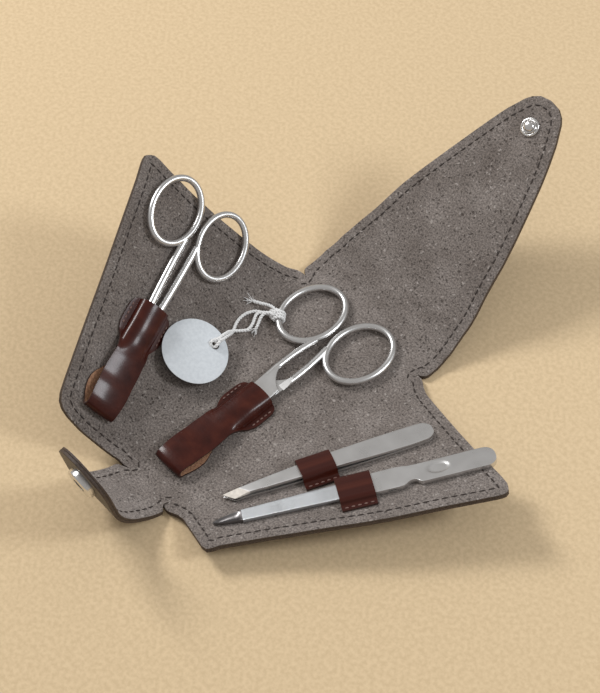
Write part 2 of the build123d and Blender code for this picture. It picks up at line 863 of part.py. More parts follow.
with BuildPart() as tweezer_band:
    with BuildSketch(tweezers_plane):
        with Locations((tweezer_band_x, 0)):
            Rectangle(band_length, 2 * tweezer_band_half + 2 * strap_thickness)
    extrude(amount=tweezer_band_top + strap_thickness)
    fillet(
        tweezer_band.edges()
        .filter_by(Axis(tweezers_plane.origin, tweezers_plane.x_dir))
        .group_by(Axis(tweezers_plane.origin, tweezers_plane.z_dir))[-1],
        1.4,
    )
    with BuildSketch(tweezers_plane):
        with Locations((tweezer_band_x, -tweezer_band_half - strap_thickness - band_flange / 2)):
            Rectangle(band_length, band_flange + 0.2)
    extrude(amount=strap_thickness)
    with BuildSketch(tweezers_plane):
        with Locations((tweezer_band_x, 0)):
            Rectangle(band_length + 1, 2 * tweezer_band_half)
    extrude(amount=tweezer_band_top, mode=Mode.SUBTRACT)

with BuildPart() as file_band:
    with BuildSketch(file_plane):
        with Locations((file_band_x, 0)):
            Rectangle(band_length, 2 * file_band_half + 2 * strap_thickness)
    extrude(amount=file_band_top + strap_thickness)
    fillet(
        file_band.edges()
        .filter_by(Axis(file_plane.origin, file_plane.x_dir))
        .group_by(Axis(file_plane.origin, file_plane.z_dir))[-1],
        1.2,
    )
    with BuildSketch(file_plane):
        with Locations((file_band_x, -file_band_half - strap_thickness - band_flange / 2)):
            Rectangle(band_length, band_flange + 0.2)
    extrude(amount=strap_thickness)
    with BuildSketch(file_plane):
        with Locations((file_band_x, 0)):
            Rectangle(band_length + 1, 2 * file_band_half)
    extrude(amount=file_band_top, mode=Mode.SUBTRACT)

# ---------------------------------------------------------------- tag and string
# A thin round card tag hangs by a cotton string that is tied to a finger ring.
tag_plane = Plane(
    Location((tag_x, tag_y, tag_z), (0, 0, left_angle - 90)) * Rotation(tag_lean, tag_tilt, 0)
)
hole_angle = 62.0
hole_reach = tag_radius - 4.2
hole_x = hole_reach * math.cos(math.radians(hole_angle))
hole_y = hole_reach * math.sin(math.radians(hole_angle))

with BuildPart() as hang_tag:
    with BuildSketch(tag_plane):
        Circle(tag_radius)
        with Locations((hole_x, hole_y)):
            Circle(tag_hole_radius, mode=Mode.SUBTRACT)
    extrude(amount=tag_thickness)
    chamfer(hang_tag.edges().group_by(Axis(tag_plane.origin, tag_plane.z_dir))[-1], 0.2)

knot_angle = 137.7
knot_x = nail_ring_x + nail_ring_rx * math.cos(math.radians(knot_angle))
knot_y = nail_ring_y + nail_ring_ry * math.sin(math.radians(knot_angle))
knot_point = nail_plane.from_local_coords((knot_x, knot_y, wire_height))
over_tag = tag_thickness + cord_radius + 0.1
last_corner = Vector(-24.2, 26.6, 3.9)
last_way = (knot_point - last_corner).normalized()
string_points = [
    tag_plane.from_local_coords((hole_x + 0.1, hole_y + 0.7, over_tag)),
    tag_plane.from_local_coords((hole_x + 0.9, tag_radius + 0.5, over_tag)),
    Vector(-25.2, 12.2, 5.0),
    Vector(-27.8, 16.0, 5.3),
    Vector(-28.5, 20.3, 5.2),
    Vector(-27.4, 24.2, 4.6),
    last_corner,
    knot_point - last_way * (wire_radius + 0.3),
]
string_runs = list(zip(string_points, string_points[1:]))
string_corners = list(zip(string_points, string_points[1:], string_points[2:]))

with BuildPart() as tag_string:
    with BuildLine() as string_route:
        reached = string_points[0]
        for before, corner, after in string_corners:
            back = (before - corner).normalized()
            onward = (after - corner).normalized()
            trim = 0.45 * min((before - corner).length, (after - corner).length)
            half_turn = math.acos(back.dot(onward * -1)) / 2
            bend_radius = trim / math.tan(half_turn)
            to_arc = bend_radius / math.cos(half_turn) - bend_radius
            arc_middle = corner + (back + onward).normalized() * to_arc
            Line(reached, corner + back * trim)
            ThreePointArc(corner + back * trim, arc_middle, corner + onward * trim)
            reached = corner + onward * trim
            print("string bend radius", round(bend_radius, 2))
        Line(reached, string_points[-1])
    string_wire = string_route.wires()[0]
    with BuildSketch(Plane(origin=string_wire @ 0, z_dir=string_wire % 0)):
        Circle(cord_radius)
    sweep(path=string_wire)
string_length = string_wire.length
string_section = math.pi * cord_radius**2
print("string length", round(string_length, 2), [round((b - a).length, 2) for a, b in string_runs])
print("string volume share", tag_string.part.volume / (string_length * string_section))

middle_hide.part.label = "middle_hide"
export_step(middle_hide.part, "parts/middle_hide.step")
middle_lining.part.label = "middle_lining"
export_step(middle_lining.part, "parts/middle_lining.step")
middle_sheath.part.label = "middle_sheath"
export_step(middle_sheath.part, "parts/middle_sheath.step")
left_spine_hide.part.label = "left_spine_hide"
export_step(left_spine_hide.part, "parts/left_spine_hide.step")
left_spine_lining.part.label = "left_spine_lining"
export_step(left_spine_lining.part, "parts/left_spine_lining.step")
left_wing_hide.part.label = "left_wing_hide"
export_step(left_wing_hide.part, "parts/left_wing_hide.step")
left_wing_lining.part.label = "left_wing_lining"
export_step(left_wing_lining.part, "parts/left_wing_lining.step")
left_sheath.part.label = "left_sheath"
export_step(left_sheath.part, "parts/left_sheath.step")
right_spine_hide.part.label = "right_spine_hide"
export_step(right_spine_hide.part, "parts/right_spine_hide.step")
right_spine_lining.part.label = "right_spine_lining"
export_step(right_spine_lining.part, "parts/right_spine_lining.step")
right_wing_hide.part.label = "right_wing_hide"
export_step(right_wing_hide.part, "parts/right_wing_hide.step")
right_wing_lining.part.label = "right_wing_lining"
export_step(right_wing_lining.part, "parts/right_wing_lining.step")
tweezer_band.part.label = "tweezer_band"
export_step(tweezer_band.part, "parts/tweezer_band.step")
file_band.part.label = "file_band"
export_step(file_band.part, "parts/file_band.step")
flap_spine_hide.part.label = "flap_spine_hide"
export_step(flap_spine_hide.part, "parts/flap_spine_hide.step")
flap_spine_lining.part.label = "flap_spine_lining"
export_step(flap_spine_lining.part, "parts/flap_spine_lining.step")
flap_hide.part.label = "flap_hide"
export_step(flap_hide.part, "parts/flap_hide.step")
flap_lining.part.label = "flap_lining"
export_step(flap_lining.part, "parts/flap_lining.step")
snap_stud.part.label = "snap_stud"
export_step(snap_stud.part, "parts/snap_stud.step")
flap_snap_cap.part.label = "flap_snap_cap"
export_step(flap_snap_cap.part, "parts/flap_snap_cap.step")
tab_riser_hide.part.label = "tab_riser_hide"
export_step(tab_riser_hide.part, "parts/tab_riser_hide.step")
tab_riser_lining.part.label = "tab_riser_lining"
export_step(tab_riser_lining.part, "parts/tab_riser_lining.step")
tab_hide.part.label = "tab_hide"
export_step(tab_hide.part, "parts/tab_hide.step")
tab_lining.part.label = "tab_lining"
export_step(tab_lining.part, "parts/tab_lining.step")
snap_socket.part.label = "snap_socket"
export_step(snap_socket.part, "parts/snap_socket.step")
tab_snap_cap.part.label = "tab_snap_cap"
export_step(tab_snap_cap.part, "parts/tab_snap_cap.step")
nail_scissors_upper.part.label = "nail_scissors_upper"
export_step(nail_scissors_upper.part, "parts/nail_scissors_upper.step")
nail_scissors_lower.part.label = "nail_scissors_lower"
export_step(nail_scissors_lower.part, "parts/nail_scissors_lower.step")
nail_scissors_screw.part.label = "nail_scissors_screw"
export_step(nail_scissors_screw.part, "parts/nail_scissors_screw.step")
cuticle_scissors_upper.part.label = "cuticle_scissors_upper"
export_step(cuticle_scissors_upper.part, "parts/cuticle_scissors_upper.step")
cuticle_scissors_lower.part.label = "cuticle_scissors_lower"
export_step(cuticle_scissors_lower.part, "parts/cuticle_scissors_lower.step")
cuticle_scissors_screw.part.label = "cuticle_scissors_screw"
export_step(cuticle_scissors_screw.part, "parts/cuticle_scissors_screw.step")
tweezers_lower_arm.part.label = "tweezers_lower_arm"
export_step(tweezers_lower_arm.part, "parts/tweezers_lower_arm.step")
tweezers_upper_arm.part.label = "tweezers_upper_arm"
export_step(tweezers_upper_arm.part, "parts/tweezers_upper_arm.step")
file_blade.part.label = "file_blade"
export_step(file_blade.part, "parts/file_blade.step")
file_handle.part.label = "file_handle"
export_step(file_handle.part, "parts/file_handle.step")
hang_tag.part.label = "hang_tag"
export_step(hang_tag.part, "parts/hang_tag.step")
tag_string.part.label = "tag_string"
export_step(tag_string.part, "parts/tag_string.step")
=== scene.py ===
import math
from functools import partial

import bpy
from mathutils import Matrix, Vector, noise


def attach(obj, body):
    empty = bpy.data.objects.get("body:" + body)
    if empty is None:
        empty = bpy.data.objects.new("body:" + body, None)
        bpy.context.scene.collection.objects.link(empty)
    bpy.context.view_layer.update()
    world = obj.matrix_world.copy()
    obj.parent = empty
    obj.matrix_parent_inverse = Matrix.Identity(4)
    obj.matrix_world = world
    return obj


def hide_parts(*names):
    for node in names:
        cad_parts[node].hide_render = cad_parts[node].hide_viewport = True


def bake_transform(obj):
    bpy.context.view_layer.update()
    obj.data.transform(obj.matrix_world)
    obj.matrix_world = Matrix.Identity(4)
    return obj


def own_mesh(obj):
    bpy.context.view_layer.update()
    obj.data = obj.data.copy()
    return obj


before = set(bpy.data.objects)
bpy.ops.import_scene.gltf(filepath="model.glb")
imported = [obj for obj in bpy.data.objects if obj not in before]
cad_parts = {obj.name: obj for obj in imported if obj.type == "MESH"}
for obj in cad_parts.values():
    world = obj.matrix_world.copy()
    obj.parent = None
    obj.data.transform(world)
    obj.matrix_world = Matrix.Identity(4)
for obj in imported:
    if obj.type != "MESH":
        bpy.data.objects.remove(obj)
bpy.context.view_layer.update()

# ---------------------------------------------------------------- camera
# An 85 mm lens looks down at the open case from beyond the corner between its tab
# and its right wing.
scene = bpy.context.scene


def look_at(thing, place, aim):
    """Put a camera or a lamp at a place and point it at another."""
    thing.location = place
    thing.rotation_mode = "QUATERNION"
    thing.rotation_quaternion = (Vector(aim) - Vector(place)).to_track_quat("-Z", "Y")


camera_data = bpy.data.cameras.new("camera")
camera_data.lens = 85
camera_data.clip_start = 0.01
camera = bpy.data.objects.new("camera", camera_data)
scene.collection.objects.link(camera)
look_at(camera, (0.2323, -0.1888, 0.4620), (-0.0081, 0.0277, 0.0))
scene.camera = camera

# ---------------------------------------------------------------- folds of the leather
# The case is one cut of dark hide lined with suede. Each wing, the flap and the tab leave the
# middle over two soft creases with a strip between them. Lengths are in mm: u runs along the
# inner crease, s out from it over the suede, h up from the suede.
MM = 0.001
SUEDE_HEIGHT = 1.9
WAVE_LENGTH = 17
WAVE_HEIGHT = 0.28
FLAP_RIDGES = ((5.0, -1, 1.3, 0.34), (14.0, 1, 1.7, 0.42))
folds = {
    "left": {
        "origin": (-7.6044, -46.9238), "along": (-0.210205, 0.977657),
        "out": (-0.977657, -0.210205), "gap": 14.8, "bend": 22.5, "ease": 5.5,
        "waves": 0.6, "seed": 4, "bodies": ("middle", "left_spine", "left_wing"),
    },
    "right": {
        "origin": (9.7634, -47.3466), "along": (0.192183, 0.981359),
        "out": (0.981359, -0.192183), "gap": 8.4, "bend": 8.5, "ease": 3.6,
        "waves": 0.5, "seed": 5, "bodies": ("middle", "right_spine", "right_wing"),
    },
    "flap": {
        "origin": (0.0, 55.5), "along": (1.0, 0.0),
        "out": (0.0, 1.0), "gap": 22.5, "bend": 18.0, "ease": 9.0,
        "waves": 1.0, "seed": 4, "bodies": ("middle", "flap_spine", "flap"),
    },
    "tab": {
        "origin": (0.0, -50.0), "along": (1.0, 0.0),
        "out": (0.0, -1.0), "gap": 17.9, "bend": 40.0, "ease": 7.5,
        "waves": 1.0, "seed": 3, "bodies": ("middle", "tab_riser", "tab"),
    },
}


def clamp(value, low=0.0, high=1.0):
    return max(low, min(high, value))


def smooth(value):
    value = clamp(value)
    return value * value * (3 - 2 * value)


def crease_rounding(fold, s, crease):
    """How far the rounded bend at one crease draws the suede towards its outer side."""
    reach = fold["ease"] - abs(s - crease)
    return reach * reach / (4 * fold["ease"]) if reach > 0 else 0.0


def flap_crown(s):
    """The flap is a little fuller than its two creases make it."""
    return 2.9 * math.sin(math.pi * clamp(s / 80) ** 0.75) ** 2


def fold_ripple(name, u, s):
    """The slow waves of used leather, and two soft ridges across the flap."""
    fold = folds[name]
    at = Vector((u / WAVE_LENGTH, s / WAVE_LENGTH, fold["seed"]))
    wave = noise.noise(at) * WAVE_HEIGHT * smooth((s - 1.0) / 8) * fold["waves"]
    if name == "flap":
        bow = 0.5 * math.sin(u / 9)
        for middle, sway, width, height in FLAP_RIDGES:
            wave += height * math.exp(-(((s - middle + sway * bow) / width) ** 2))
    return wave


def on_fold(name, u, s, h=0.0):
    """The place of a point of the folded leather, in metres."""
    fold = folds[name]
    bend = math.radians(fold["bend"])
    headings = [(math.cos(bend * step), math.sin(bend * step)) for step in range(3)]
    first = clamp(s, 0, fold["gap"])
    second = max(s - fold["gap"], 0.0)
    away = min(s, 0.0) + first * headings[1][0] + second * headings[2][0]
    up = first * headings[1][1] + second * headings[2][1]
    slope = list(headings[0])
    for step, crease in enumerate((0.0, fold["gap"])):
        turn = [headings[step + 1][axis] - headings[step][axis] for axis in (0, 1)]
        share = clamp((s - crease + fold["ease"]) / (2 * fold["ease"]))
        rounding = crease_rounding(fold, s, crease)
        away += turn[0] * rounding
        up += turn[1] * rounding
        slope = [slope[axis] + turn[axis] * share for axis in (0, 1)]
    length = math.hypot(*slope)
    lift = h + fold_ripple(name, u, s)
    if name == "flap":
        lift += flap_crown(s)
    away -= slope[1] / length * lift
    up += slope[0] / length * lift
    return Vector((*flat_on_fold(name, u, away), SUEDE_HEIGHT + up)) * MM


def flat_on_fold(name, u, s):
    """The same point on the flat cut, for the pattern of the suede."""
    fold = folds[name]
    return [
        fold["origin"][axis] + fold["along"][axis] * u + fold["out"][axis] * s
        for axis in (0, 1)
    ]


def on_middle(x, y, h=0.0):
    """The middle panel lies on the table and starts to rise just before each crease."""
    place = Vector((x, y, SUEDE_HEIGHT + h))
    below, above = y - folds["tab"]["origin"][1], folds["flap"]["origin"][1] - y
    wing_share = smooth(below / 3.0) * smooth(above / 6.9)
    for name, fold in folds.items():
        offset = (x - fold["origin"][0], y - fold["origin"][1])
        s = offset[0] * fold["out"][0] + offset[1] * fold["out"][1]
        u = offset[0] * fold["along"][0] + offset[1] * fold["along"][1]
        if name == "tab" and abs(u) > 14:
            continue
        rounding = crease_rounding(fold, min(s, 0.0), 0.0)
        if name == "flap":
            rounding *= smooth((s + fold["ease"]) / 3)
        elif name != "tab":
            rounding *= wing_share
        bend = math.radians(fold["bend"])
        away = rounding * (math.cos(bend) - 1)
        rise = rounding * math.sin(bend)
        place += Vector((fold["out"][0] * away, fold["out"][1] * away, rise))
    return place * MM


def flat_on_middle(x, y):
    return [x, y]


# ---------------------------------------------------------------- outline of the cut
# The knife's line round the leather, as (u, s) at each fold. The strip ends at split, where the
# panel begins. Low is the side towards the tab (the left one on flap and tab) and high the
# other one; the end runs from low to high.
def mirrored(points):
    """The left edge of a flap that is the same on both sides."""
    return [(-u, s) for u, s in points]


folds["left"].update(
    split=7.4, columns=62, rows=40,
    strip_low=[(-0.2, 0), (-0.4, 3), (-0.1, 5.6), (-0.5, 7.4)],
    strip_high=[(97.7, 0), (97.9, 2), (97.4, 4), (96.2, 6), (95.5, 7.4)],
    panel_low=[
        (-0.5, 7.4), (-1.2, 14.8), (-2.1, 20.7), (-2.4, 27.0), (-2.0, 30.2), (-0.8, 32.7)
    ],
    panel_high=[
        (95.5, 7.4), (93.4, 14.8), (90.3, 25.6), (87.2, 38.0), (84.9, 50.0), (83.3, 62.0),
        (82.9, 66.6), (82.1, 69.4), (79.8, 71.0),
    ],
    end=[
        (-0.8, 32.7), (1.5, 34.6), (5.1, 36.4), (17.9, 42.4), (35.9, 50.6), (54.5, 59.2),
        (71.8, 67.4), (75.4, 69.3), (77.8, 70.6), (79.8, 71.0),
    ],
)
folds["right"].update(
    split=4.2, columns=62, rows=36,
    strip_low=[(-0.2, 0), (-0.3, 2), (0.1, 3.4), (0.7, 4.2)],
    strip_high=[(97.7, 0), (97.9, 1.8), (97.5, 3.2), (97.0, 4.2)],
    panel_low=[
        (0.7, 4.2), (1.9, 6.2), (2.6, 8.6), (2.4, 16.0), (2.1, 22.4), (2.6, 24.6)
    ],
    panel_high=[
        (97.0, 4.2), (96.0, 6.4), (95.3, 9.4), (94.3, 21.5), (93.6, 32.0), (93.2, 40.6),
        (93.0, 55.4), (92.6, 59.6), (91.2, 62.0),
    ],
    end=[
        (2.6, 24.6), (4.2, 25.4), (7.1, 26.1), (21.8, 32.8), (33.4, 38.4), (46.7, 45.0),
        (55.6, 49.0), (73.6, 56.2), (84.4, 60.8), (87.6, 62.2), (89.6, 62.7), (91.2, 62.0),
    ],
)
folds["flap"].update(
    split=11.25, columns=40, rows=56,
    strip_high=[(31.0, 0), (30.7, 6), (29.9, 11.25)],
    panel_high=[
        (29.9, 11.25), (28.9, 18.8), (28.2, 22.5), (26.6, 29.4), (24.4, 42.0), (22.3, 50.1),
        (20.3, 57.0), (18.2, 64.3), (16.2, 71.0), (13.9, 77.9), (11.5, 84.4), (9.2, 89.0),
    ],
    half_end=[(0, 95.5), (4.0, 94.8), (6.6, 93.0), (8.2, 91.0), (9.2, 89.0)],
)
folds["tab"].update(
    split=9.0, columns=18, rows=26,
    strip_high=[(12.0, 0), (11.9, 4.5), (11.8, 9.0)],
    panel_high=[(11.8, 9.0), (11.6, 17.9), (11.6, 34.9), (11.0, 38.6), (9.2, 42.0)],
    half_end=[(0, 46.5), (3.4, 46.0), (6.6, 44.4), (9.2, 42.0)],
)
for name in ("flap", "tab"):
    fold = folds[name]
    fold["strip_low"] = mirrored(fold["strip_high"])
    fold["panel_low"] = mirrored(fold["panel_high"])
    fold["end"] = mirrored(fold["half_end"][:0:-1]) + fold["half_end"]
middle_side = {
    -1: [
        (-12.0, -50.0), (-11.4, -49.2), (-9.8, -48.5), (-7.56, -47.3), (-28.16, 48.6),
        (-29.4, 49.1), (-30.6, 50.0), (-31.0, 51.4), (-31.0, 55.5),
    ],
    1: [
        (12.0, -50.0), (11.4, -49.2), (10.6, -48.6), (9.75, -47.5), (28.54, 48.6),
        (29.6, 49.1), (30.6, 50.0), (31.0, 51.4), (31.0, 55.5),
    ],
}


def runs(points):
    """The lengths of the straight runs of a line."""
    return [math.dist(a, b) for a, b in zip(points, points[1:])]


def along_line(points, share):
    """The point at a share of a line's length."""
    lengths = runs(points)
    rest = clamp(share) * sum(lengths)
    for (a, b), length in zip(zip(points, points[1:]), lengths):
        if rest <= length or length == lengths[-1] and b == points[-1]:
            part = clamp(rest / length)
            return (a[0] + (b[0] - a[0]) * part, a[1] + (b[1] - a[1]) * part)
        rest -= length
    return points[-1]


def four_sided(low, high, inner, outer, columns, rows):
    """Grid points that fill the space between four edges of the cut."""
    corners = (inner[0], inner[-1], outer[0], outer[-1])
    grid = []
    for row in range(rows + 1):
        b = row / rows
        left, right = along_line(low, b), along_line(high, b)
        for column in range(columns + 1):
            a = column / columns
            near, far = along_line(inner, a), along_line(outer, a)
            grid.append(tuple(
                (1 - b) * near[axis] + b * far[axis] + (1 - a) * left[axis] + a * right[axis]
                - (1 - a) * (1 - b) * corners[0][axis] - a * (1 - b) * corners[1][axis]
                - (1 - a) * b * corners[2][axis] - a * b * corners[3][axis]
                for axis in (0, 1)
            ))
    return grid


# ---------------------------------------------------------------- leather finishes
# Pigskin suede, grey-brown, with a brushed nap and dark follicle pits; a smooth dark
# brown hide outside; and the cut edge between them, painted dark.
def add_node(tree, kind, inputs=None, **settings):
    """A node with its inputs set by name, from values or from other nodes' outputs."""
    node = tree.nodes.new(kind)
    for key, value in settings.items():
        setattr(node, key, value)
    for key, value in (inputs or {}).items():
        socket = node.inputs[key]
        if isinstance(value, bpy.types.NodeSocket):
            tree.links.new(value, socket)
        else:
            socket.default_value = value
    return node


def surface_way(tree, kind):
    """The coordinates of a surface: UV for the flat cut, Object for everything else."""
    return add_node(tree, "ShaderNodeTexCoord").outputs[kind]


def grey_noise(tree, way, scale, detail=2.0, roughness=0.5):
    return add_node(tree, "ShaderNodeTexNoise", {
        "Vector": way, "Scale": scale, "Detail": detail, "Roughness": roughness
    }).outputs["Fac"]


def maths(tree, operation, first, second=0.0, third=0.0):
    terms = {0: first, 1: second, 2: third}
    return add_node(tree, "ShaderNodeMath", terms, operation=operation).outputs[0]


def mixed(tree, factor, first, second, blend_type="MIX"):
    return add_node(
        tree, "ShaderNodeMix", {"Factor": factor, "A": first, "B": second},
        data_type="RGBA", blend_type=blend_type,
    ).outputs["Result"]


def smooth_fall(tree, value, near, far, most):
    """Falls smoothly from most, at near, to nothing at far."""
    return add_node(tree, "ShaderNodeMapRange", {
        "Value": value, "From Min": near, "From Max": far, "To Min": most, "To Max": 0.0
    }, interpolation_type="SMOOTHSTEP").outputs["Result"]


def colour_steps(tree, factor, steps):
    """A colour ramp through (position, (r, g, b)) steps."""
    ramp = add_node(tree, "ShaderNodeValToRGB", {"Fac": factor})
    while len(ramp.color_ramp.elements) < len(steps):
        ramp.color_ramp.elements.new(0.5)
    for element, (position, colour) in zip(ramp.color_ramp.elements, steps):
        element.position = position
        element.color = (*colour, 1)
    return ramp.outputs["Color"]


def new_finish(name, **values):
    """A material with its Principled shader's plain values set."""
    material = bpy.data.materials.new(name)
    material.use_nodes = True
    shader = material.node_tree.nodes["Principled BSDF"]
    for key, value in values.items():
        shader.inputs[key.replace("_", " ")].default_value = value
    return material, material.node_tree, shader


def bump_into(tree, shader, height, distance, strength):
    bump = add_node(tree, "ShaderNodeBump", {
        "Height": height, "Distance": distance, "Strength": strength
    })
    tree.links.new(bump.outputs["Normal"], shader.inputs["Normal"])


def speckled_finish(name, scale, detail, steps, relief=None, **values):
    """A finish whose tone wanders with a fine noise, which may also be its relief."""
    material, tree, shader = new_finish(name, **values)
    speckle = grey_noise(tree, surface_way(tree, "Object"), scale, detail)
    tree.links.new(colour_steps(tree, speckle, steps), shader.inputs["Base Color"])
    if relief:
        bump_into(tree, shader, speckle, *relief)
    return material


def new_group(name, inputs, outputs):
    """A shader node group, with the sockets at its two ends."""
    group = bpy.data.node_groups.new(name, "ShaderNodeTree")
    for side, sockets in (("INPUT", inputs), ("OUTPUT", outputs)):
        for label, kind in sockets.items():
            group.interface.new_socket(label, in_out=side, socket_type="NodeSocket" + kind)
    ends = add_node(group, "NodeGroupInput").outputs, add_node(group, "NodeGroupOutput").inputs
    return group, *ends


suede, tree, shader = new_finish(
    "suede", Roughness=0.95, Sheen_Weight=0.35, Sheen_Roughness=0.5,
    Sheen_Tint=(0.85, 0.78, 0.74, 1), Specular_IOR_Level=0.2,
)
flat_cut = surface_way(tree, "UV")
nap = grey_noise(tree, flat_cut, 7.0, 4.0, 0.62)
fuzz = grey_noise(tree, flat_cut, 150.0, 5.0, 0.75)
warped = add_node(tree, "ShaderNodeVectorMath", {
    0: grey_noise(tree, flat_cut, 60.0).node.outputs["Color"], 1: (0.02, 0.02, 0.0), 2: flat_cut
}, operation="MULTIPLY_ADD").outputs[0]
pits = add_node(tree, "ShaderNodeTexVoronoi", {
    "Vector": warped, "Scale": 70.0, "Randomness": 0.7
}).outputs["Distance"]
pit_size = maths(tree, "MULTIPLY_ADD", grey_noise(tree, flat_cut, 24.0), 0.46, 0.06)
pit_edge = smooth_fall(tree, pits, maths(tree, "MULTIPLY", pit_size, 0.55), pit_size, 1.0)
tufts = add_node(tree, "ShaderNodeTexVoronoi", {
    "Vector": warped, "Scale": 46.0, "Randomness": 0.85
}).outputs["Distance"]
tuft_edge = smooth_fall(tree, tufts, 0.10, 0.27, 0.75)
suede_tone = colour_steps(tree, nap, [
    (0.30, (0.150, 0.126, 0.112)), (0.50, (0.190, 0.163, 0.147)), (0.70, (0.240, 0.209, 0.191))
])
fuzz_tone = colour_steps(tree, fuzz, [(0.36, (0.12,) * 3), (0.64, (0.88,) * 3)])
fuzzed = mixed(tree, 0.8, suede_tone, fuzz_tone, "OVERLAY")
pitted = mixed(tree, maths(tree, "MULTIPLY", pit_edge, 0.62), fuzzed, (0.035, 0.024, 0.019, 1))
tufted = mixed(tree, tuft_edge, pitted, (0.43, 0.385, 0.355, 1))
tree.links.new(tufted, shader.inputs["Base Color"])
bump_into(tree, shader, maths(
    tree, "SUBTRACT", maths(tree, "MULTIPLY_ADD", fuzz, 0.7, tuft_edge), pit_edge
), 0.0003, 0.9)

leather_grain, group_in, group_out = new_group(
    "leather_grain", {"Vector": "Vector", "Scale": "Float"}, {"Height": "Float", "Mottle": "Float"}
)
leather_grain.links.new(add_node(leather_grain, "ShaderNodeTexVoronoi", {
    "Vector": group_in["Vector"], "Scale": group_in["Scale"], "Smoothness": 0.4
}, feature="SMOOTH_F1").outputs["Distance"], group_out["Height"])
leather_grain.links.new(grey_noise(
    leather_grain, group_in["Vector"],
    maths(leather_grain, "MULTIPLY", group_in["Scale"], 0.12), 4.0,
), group_out["Mottle"])

hide, tree, shader = new_finish("dark_hide", Roughness=0.5, Coat_Weight=0.12, Coat_Roughness=0.35)
grain = add_node(tree, "ShaderNodeGroup", {
    "Vector": surface_way(tree, "UV"), "Scale": 130.0
}, node_tree=leather_grain).outputs
tree.links.new(colour_steps(tree, grain["Mottle"], [
    (0.3, (0.016, 0.009, 0.006)), (0.7, (0.034, 0.020, 0.013))
]), shader.inputs["Base Color"])
bump_into(tree, shader, grain["Height"], 0.00012, 0.7)

cut_edge = speckled_finish(
    "cut_edge", 2200.0, 3.0, [(0.35, (0.030, 0.018, 0.012)), (0.65, (0.075, 0.050, 0.036))],
    (0.0001, 0.6), Roughness=0.62,
)

# ---------------------------------------------------------------- cut leather
# Suede and hide are two layers glued face to face and sewn round the edge. Each is
# cut flat, bent over the creases and softened where the knife went through.
LINING_THICKNESS = 0.8
HIDE_THICKNESS = 1.1
CUT_SOFTNESS = 0.22
PATTERN_UNIT = 100
MIDDLE_COLUMNS = 40


def everywhere(u, s):
    """The choice of all points, where a piece needs no other."""
    return True


def new_grid(name, columns, rows):
    """A flat grid of faces, to be laid out point by point."""
    bpy.ops.object.select_all(action="DESELECT")
    bpy.ops.mesh.primitive_grid_add(x_subdivisions=columns, y_subdivisions=rows, size=1)
    piece = bpy.context.object
    piece.name = piece.data.name = name
    return piece


def apply_modifier(piece, kind, **settings):
    """Run a modifier on the active piece and keep what it makes."""
    modifier = piece.modifiers.new(kind.lower(), kind)
    for key, value in settings.items():
        setattr(modifier, key, value)
    bpy.ops.object.modifier_apply(modifier=modifier.name)


def face_towards(mesh, face, way):
    """Turn a mesh inside out if this face of it looks away from a direction."""
    if face.normal.dot(way) < 0:
        mesh.flip_normals()


def leather_layer(name, place, flat, grid, columns, top, thickness, cut_sides, finishes, is_cut):
    """One layer of the cut: its top face follows the grid, its cut edges are softened."""
    count = len(grid)
    rows = count // (columns + 1) - 1
    piece = new_grid(name, columns, rows)
    mesh = piece.data
    for vertex, (u, s) in zip(mesh.vertices, grid):
        vertex.co = place(u, s, top)
    for loop in mesh.loops:
        x, y = flat(*grid[loop.vertex_index])
        mesh.uv_layers[0].data[loop.index].uv = (x / PATTERN_UNIT, y / PATTERN_UNIT)
    middle_face = mesh.polygons[len(mesh.polygons) // 2]
    u, s = grid[middle_face.vertices[0]]
    face_towards(mesh, middle_face, place(u, s, 1) - place(u, s, 0))
    for finish in finishes:
        mesh.materials.append(finish)
    apply_modifier(
        piece, "SOLIDIFY", thickness=thickness * MM, offset=-1, material_offset=2,
        material_offset_rim=1,
    )

    def sides_of(index):
        row, column = divmod(index % count, columns + 1)
        there = {"low": column == 0, "high": column == columns, "outer": row == rows}
        return {side for side in cut_sides if there[side]}

    for part in (*mesh.vertices, *mesh.polygons):
        part.select = False
    for edge in mesh.edges:
        a, b = edge.vertices
        edge.select = (
            bool(sides_of(a) & sides_of(b)) and (a < count) == (b < count)
            and is_cut(*grid[a % count]) and is_cut(*grid[b % count])
        )
        if edge.select:
            mesh.vertices[a].select = mesh.vertices[b].select = True
    bpy.ops.object.mode_set(mode="EDIT")
    bpy.ops.mesh.select_mode(type="EDGE")
    bpy.ops.mesh.bevel(offset=CUT_SOFTNESS * MM, segments=2, affect="EDGES", clamp_overlap=True)
    bpy.ops.object.mode_set(mode="OBJECT")
    bpy.ops.object.shade_smooth_by_angle(angle=math.radians(40))
    return piece


def both_layers(stem, place, flat, grid, columns, cut_sides, is_cut=everywhere):
    """The suede with the hide below it, each standing for its CAD solid."""
    layers = []
    for label, node, slot, top, thickness, finishes in (
        ("_suede", "_lining", "suede", 0.0, LINING_THICKNESS, (suede, cut_edge, cut_edge)),
        (
            "_outer_hide", "_hide", "hide", -LINING_THICKNESS, HIDE_THICKNESS,
            (cut_edge, cut_edge, hide),
        ),
    ):
        layers.append(leather_layer(
            stem + label, place, flat, grid, columns, top, thickness, cut_sides, finishes, is_cut
        ))
        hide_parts(stem + node)
    return layers


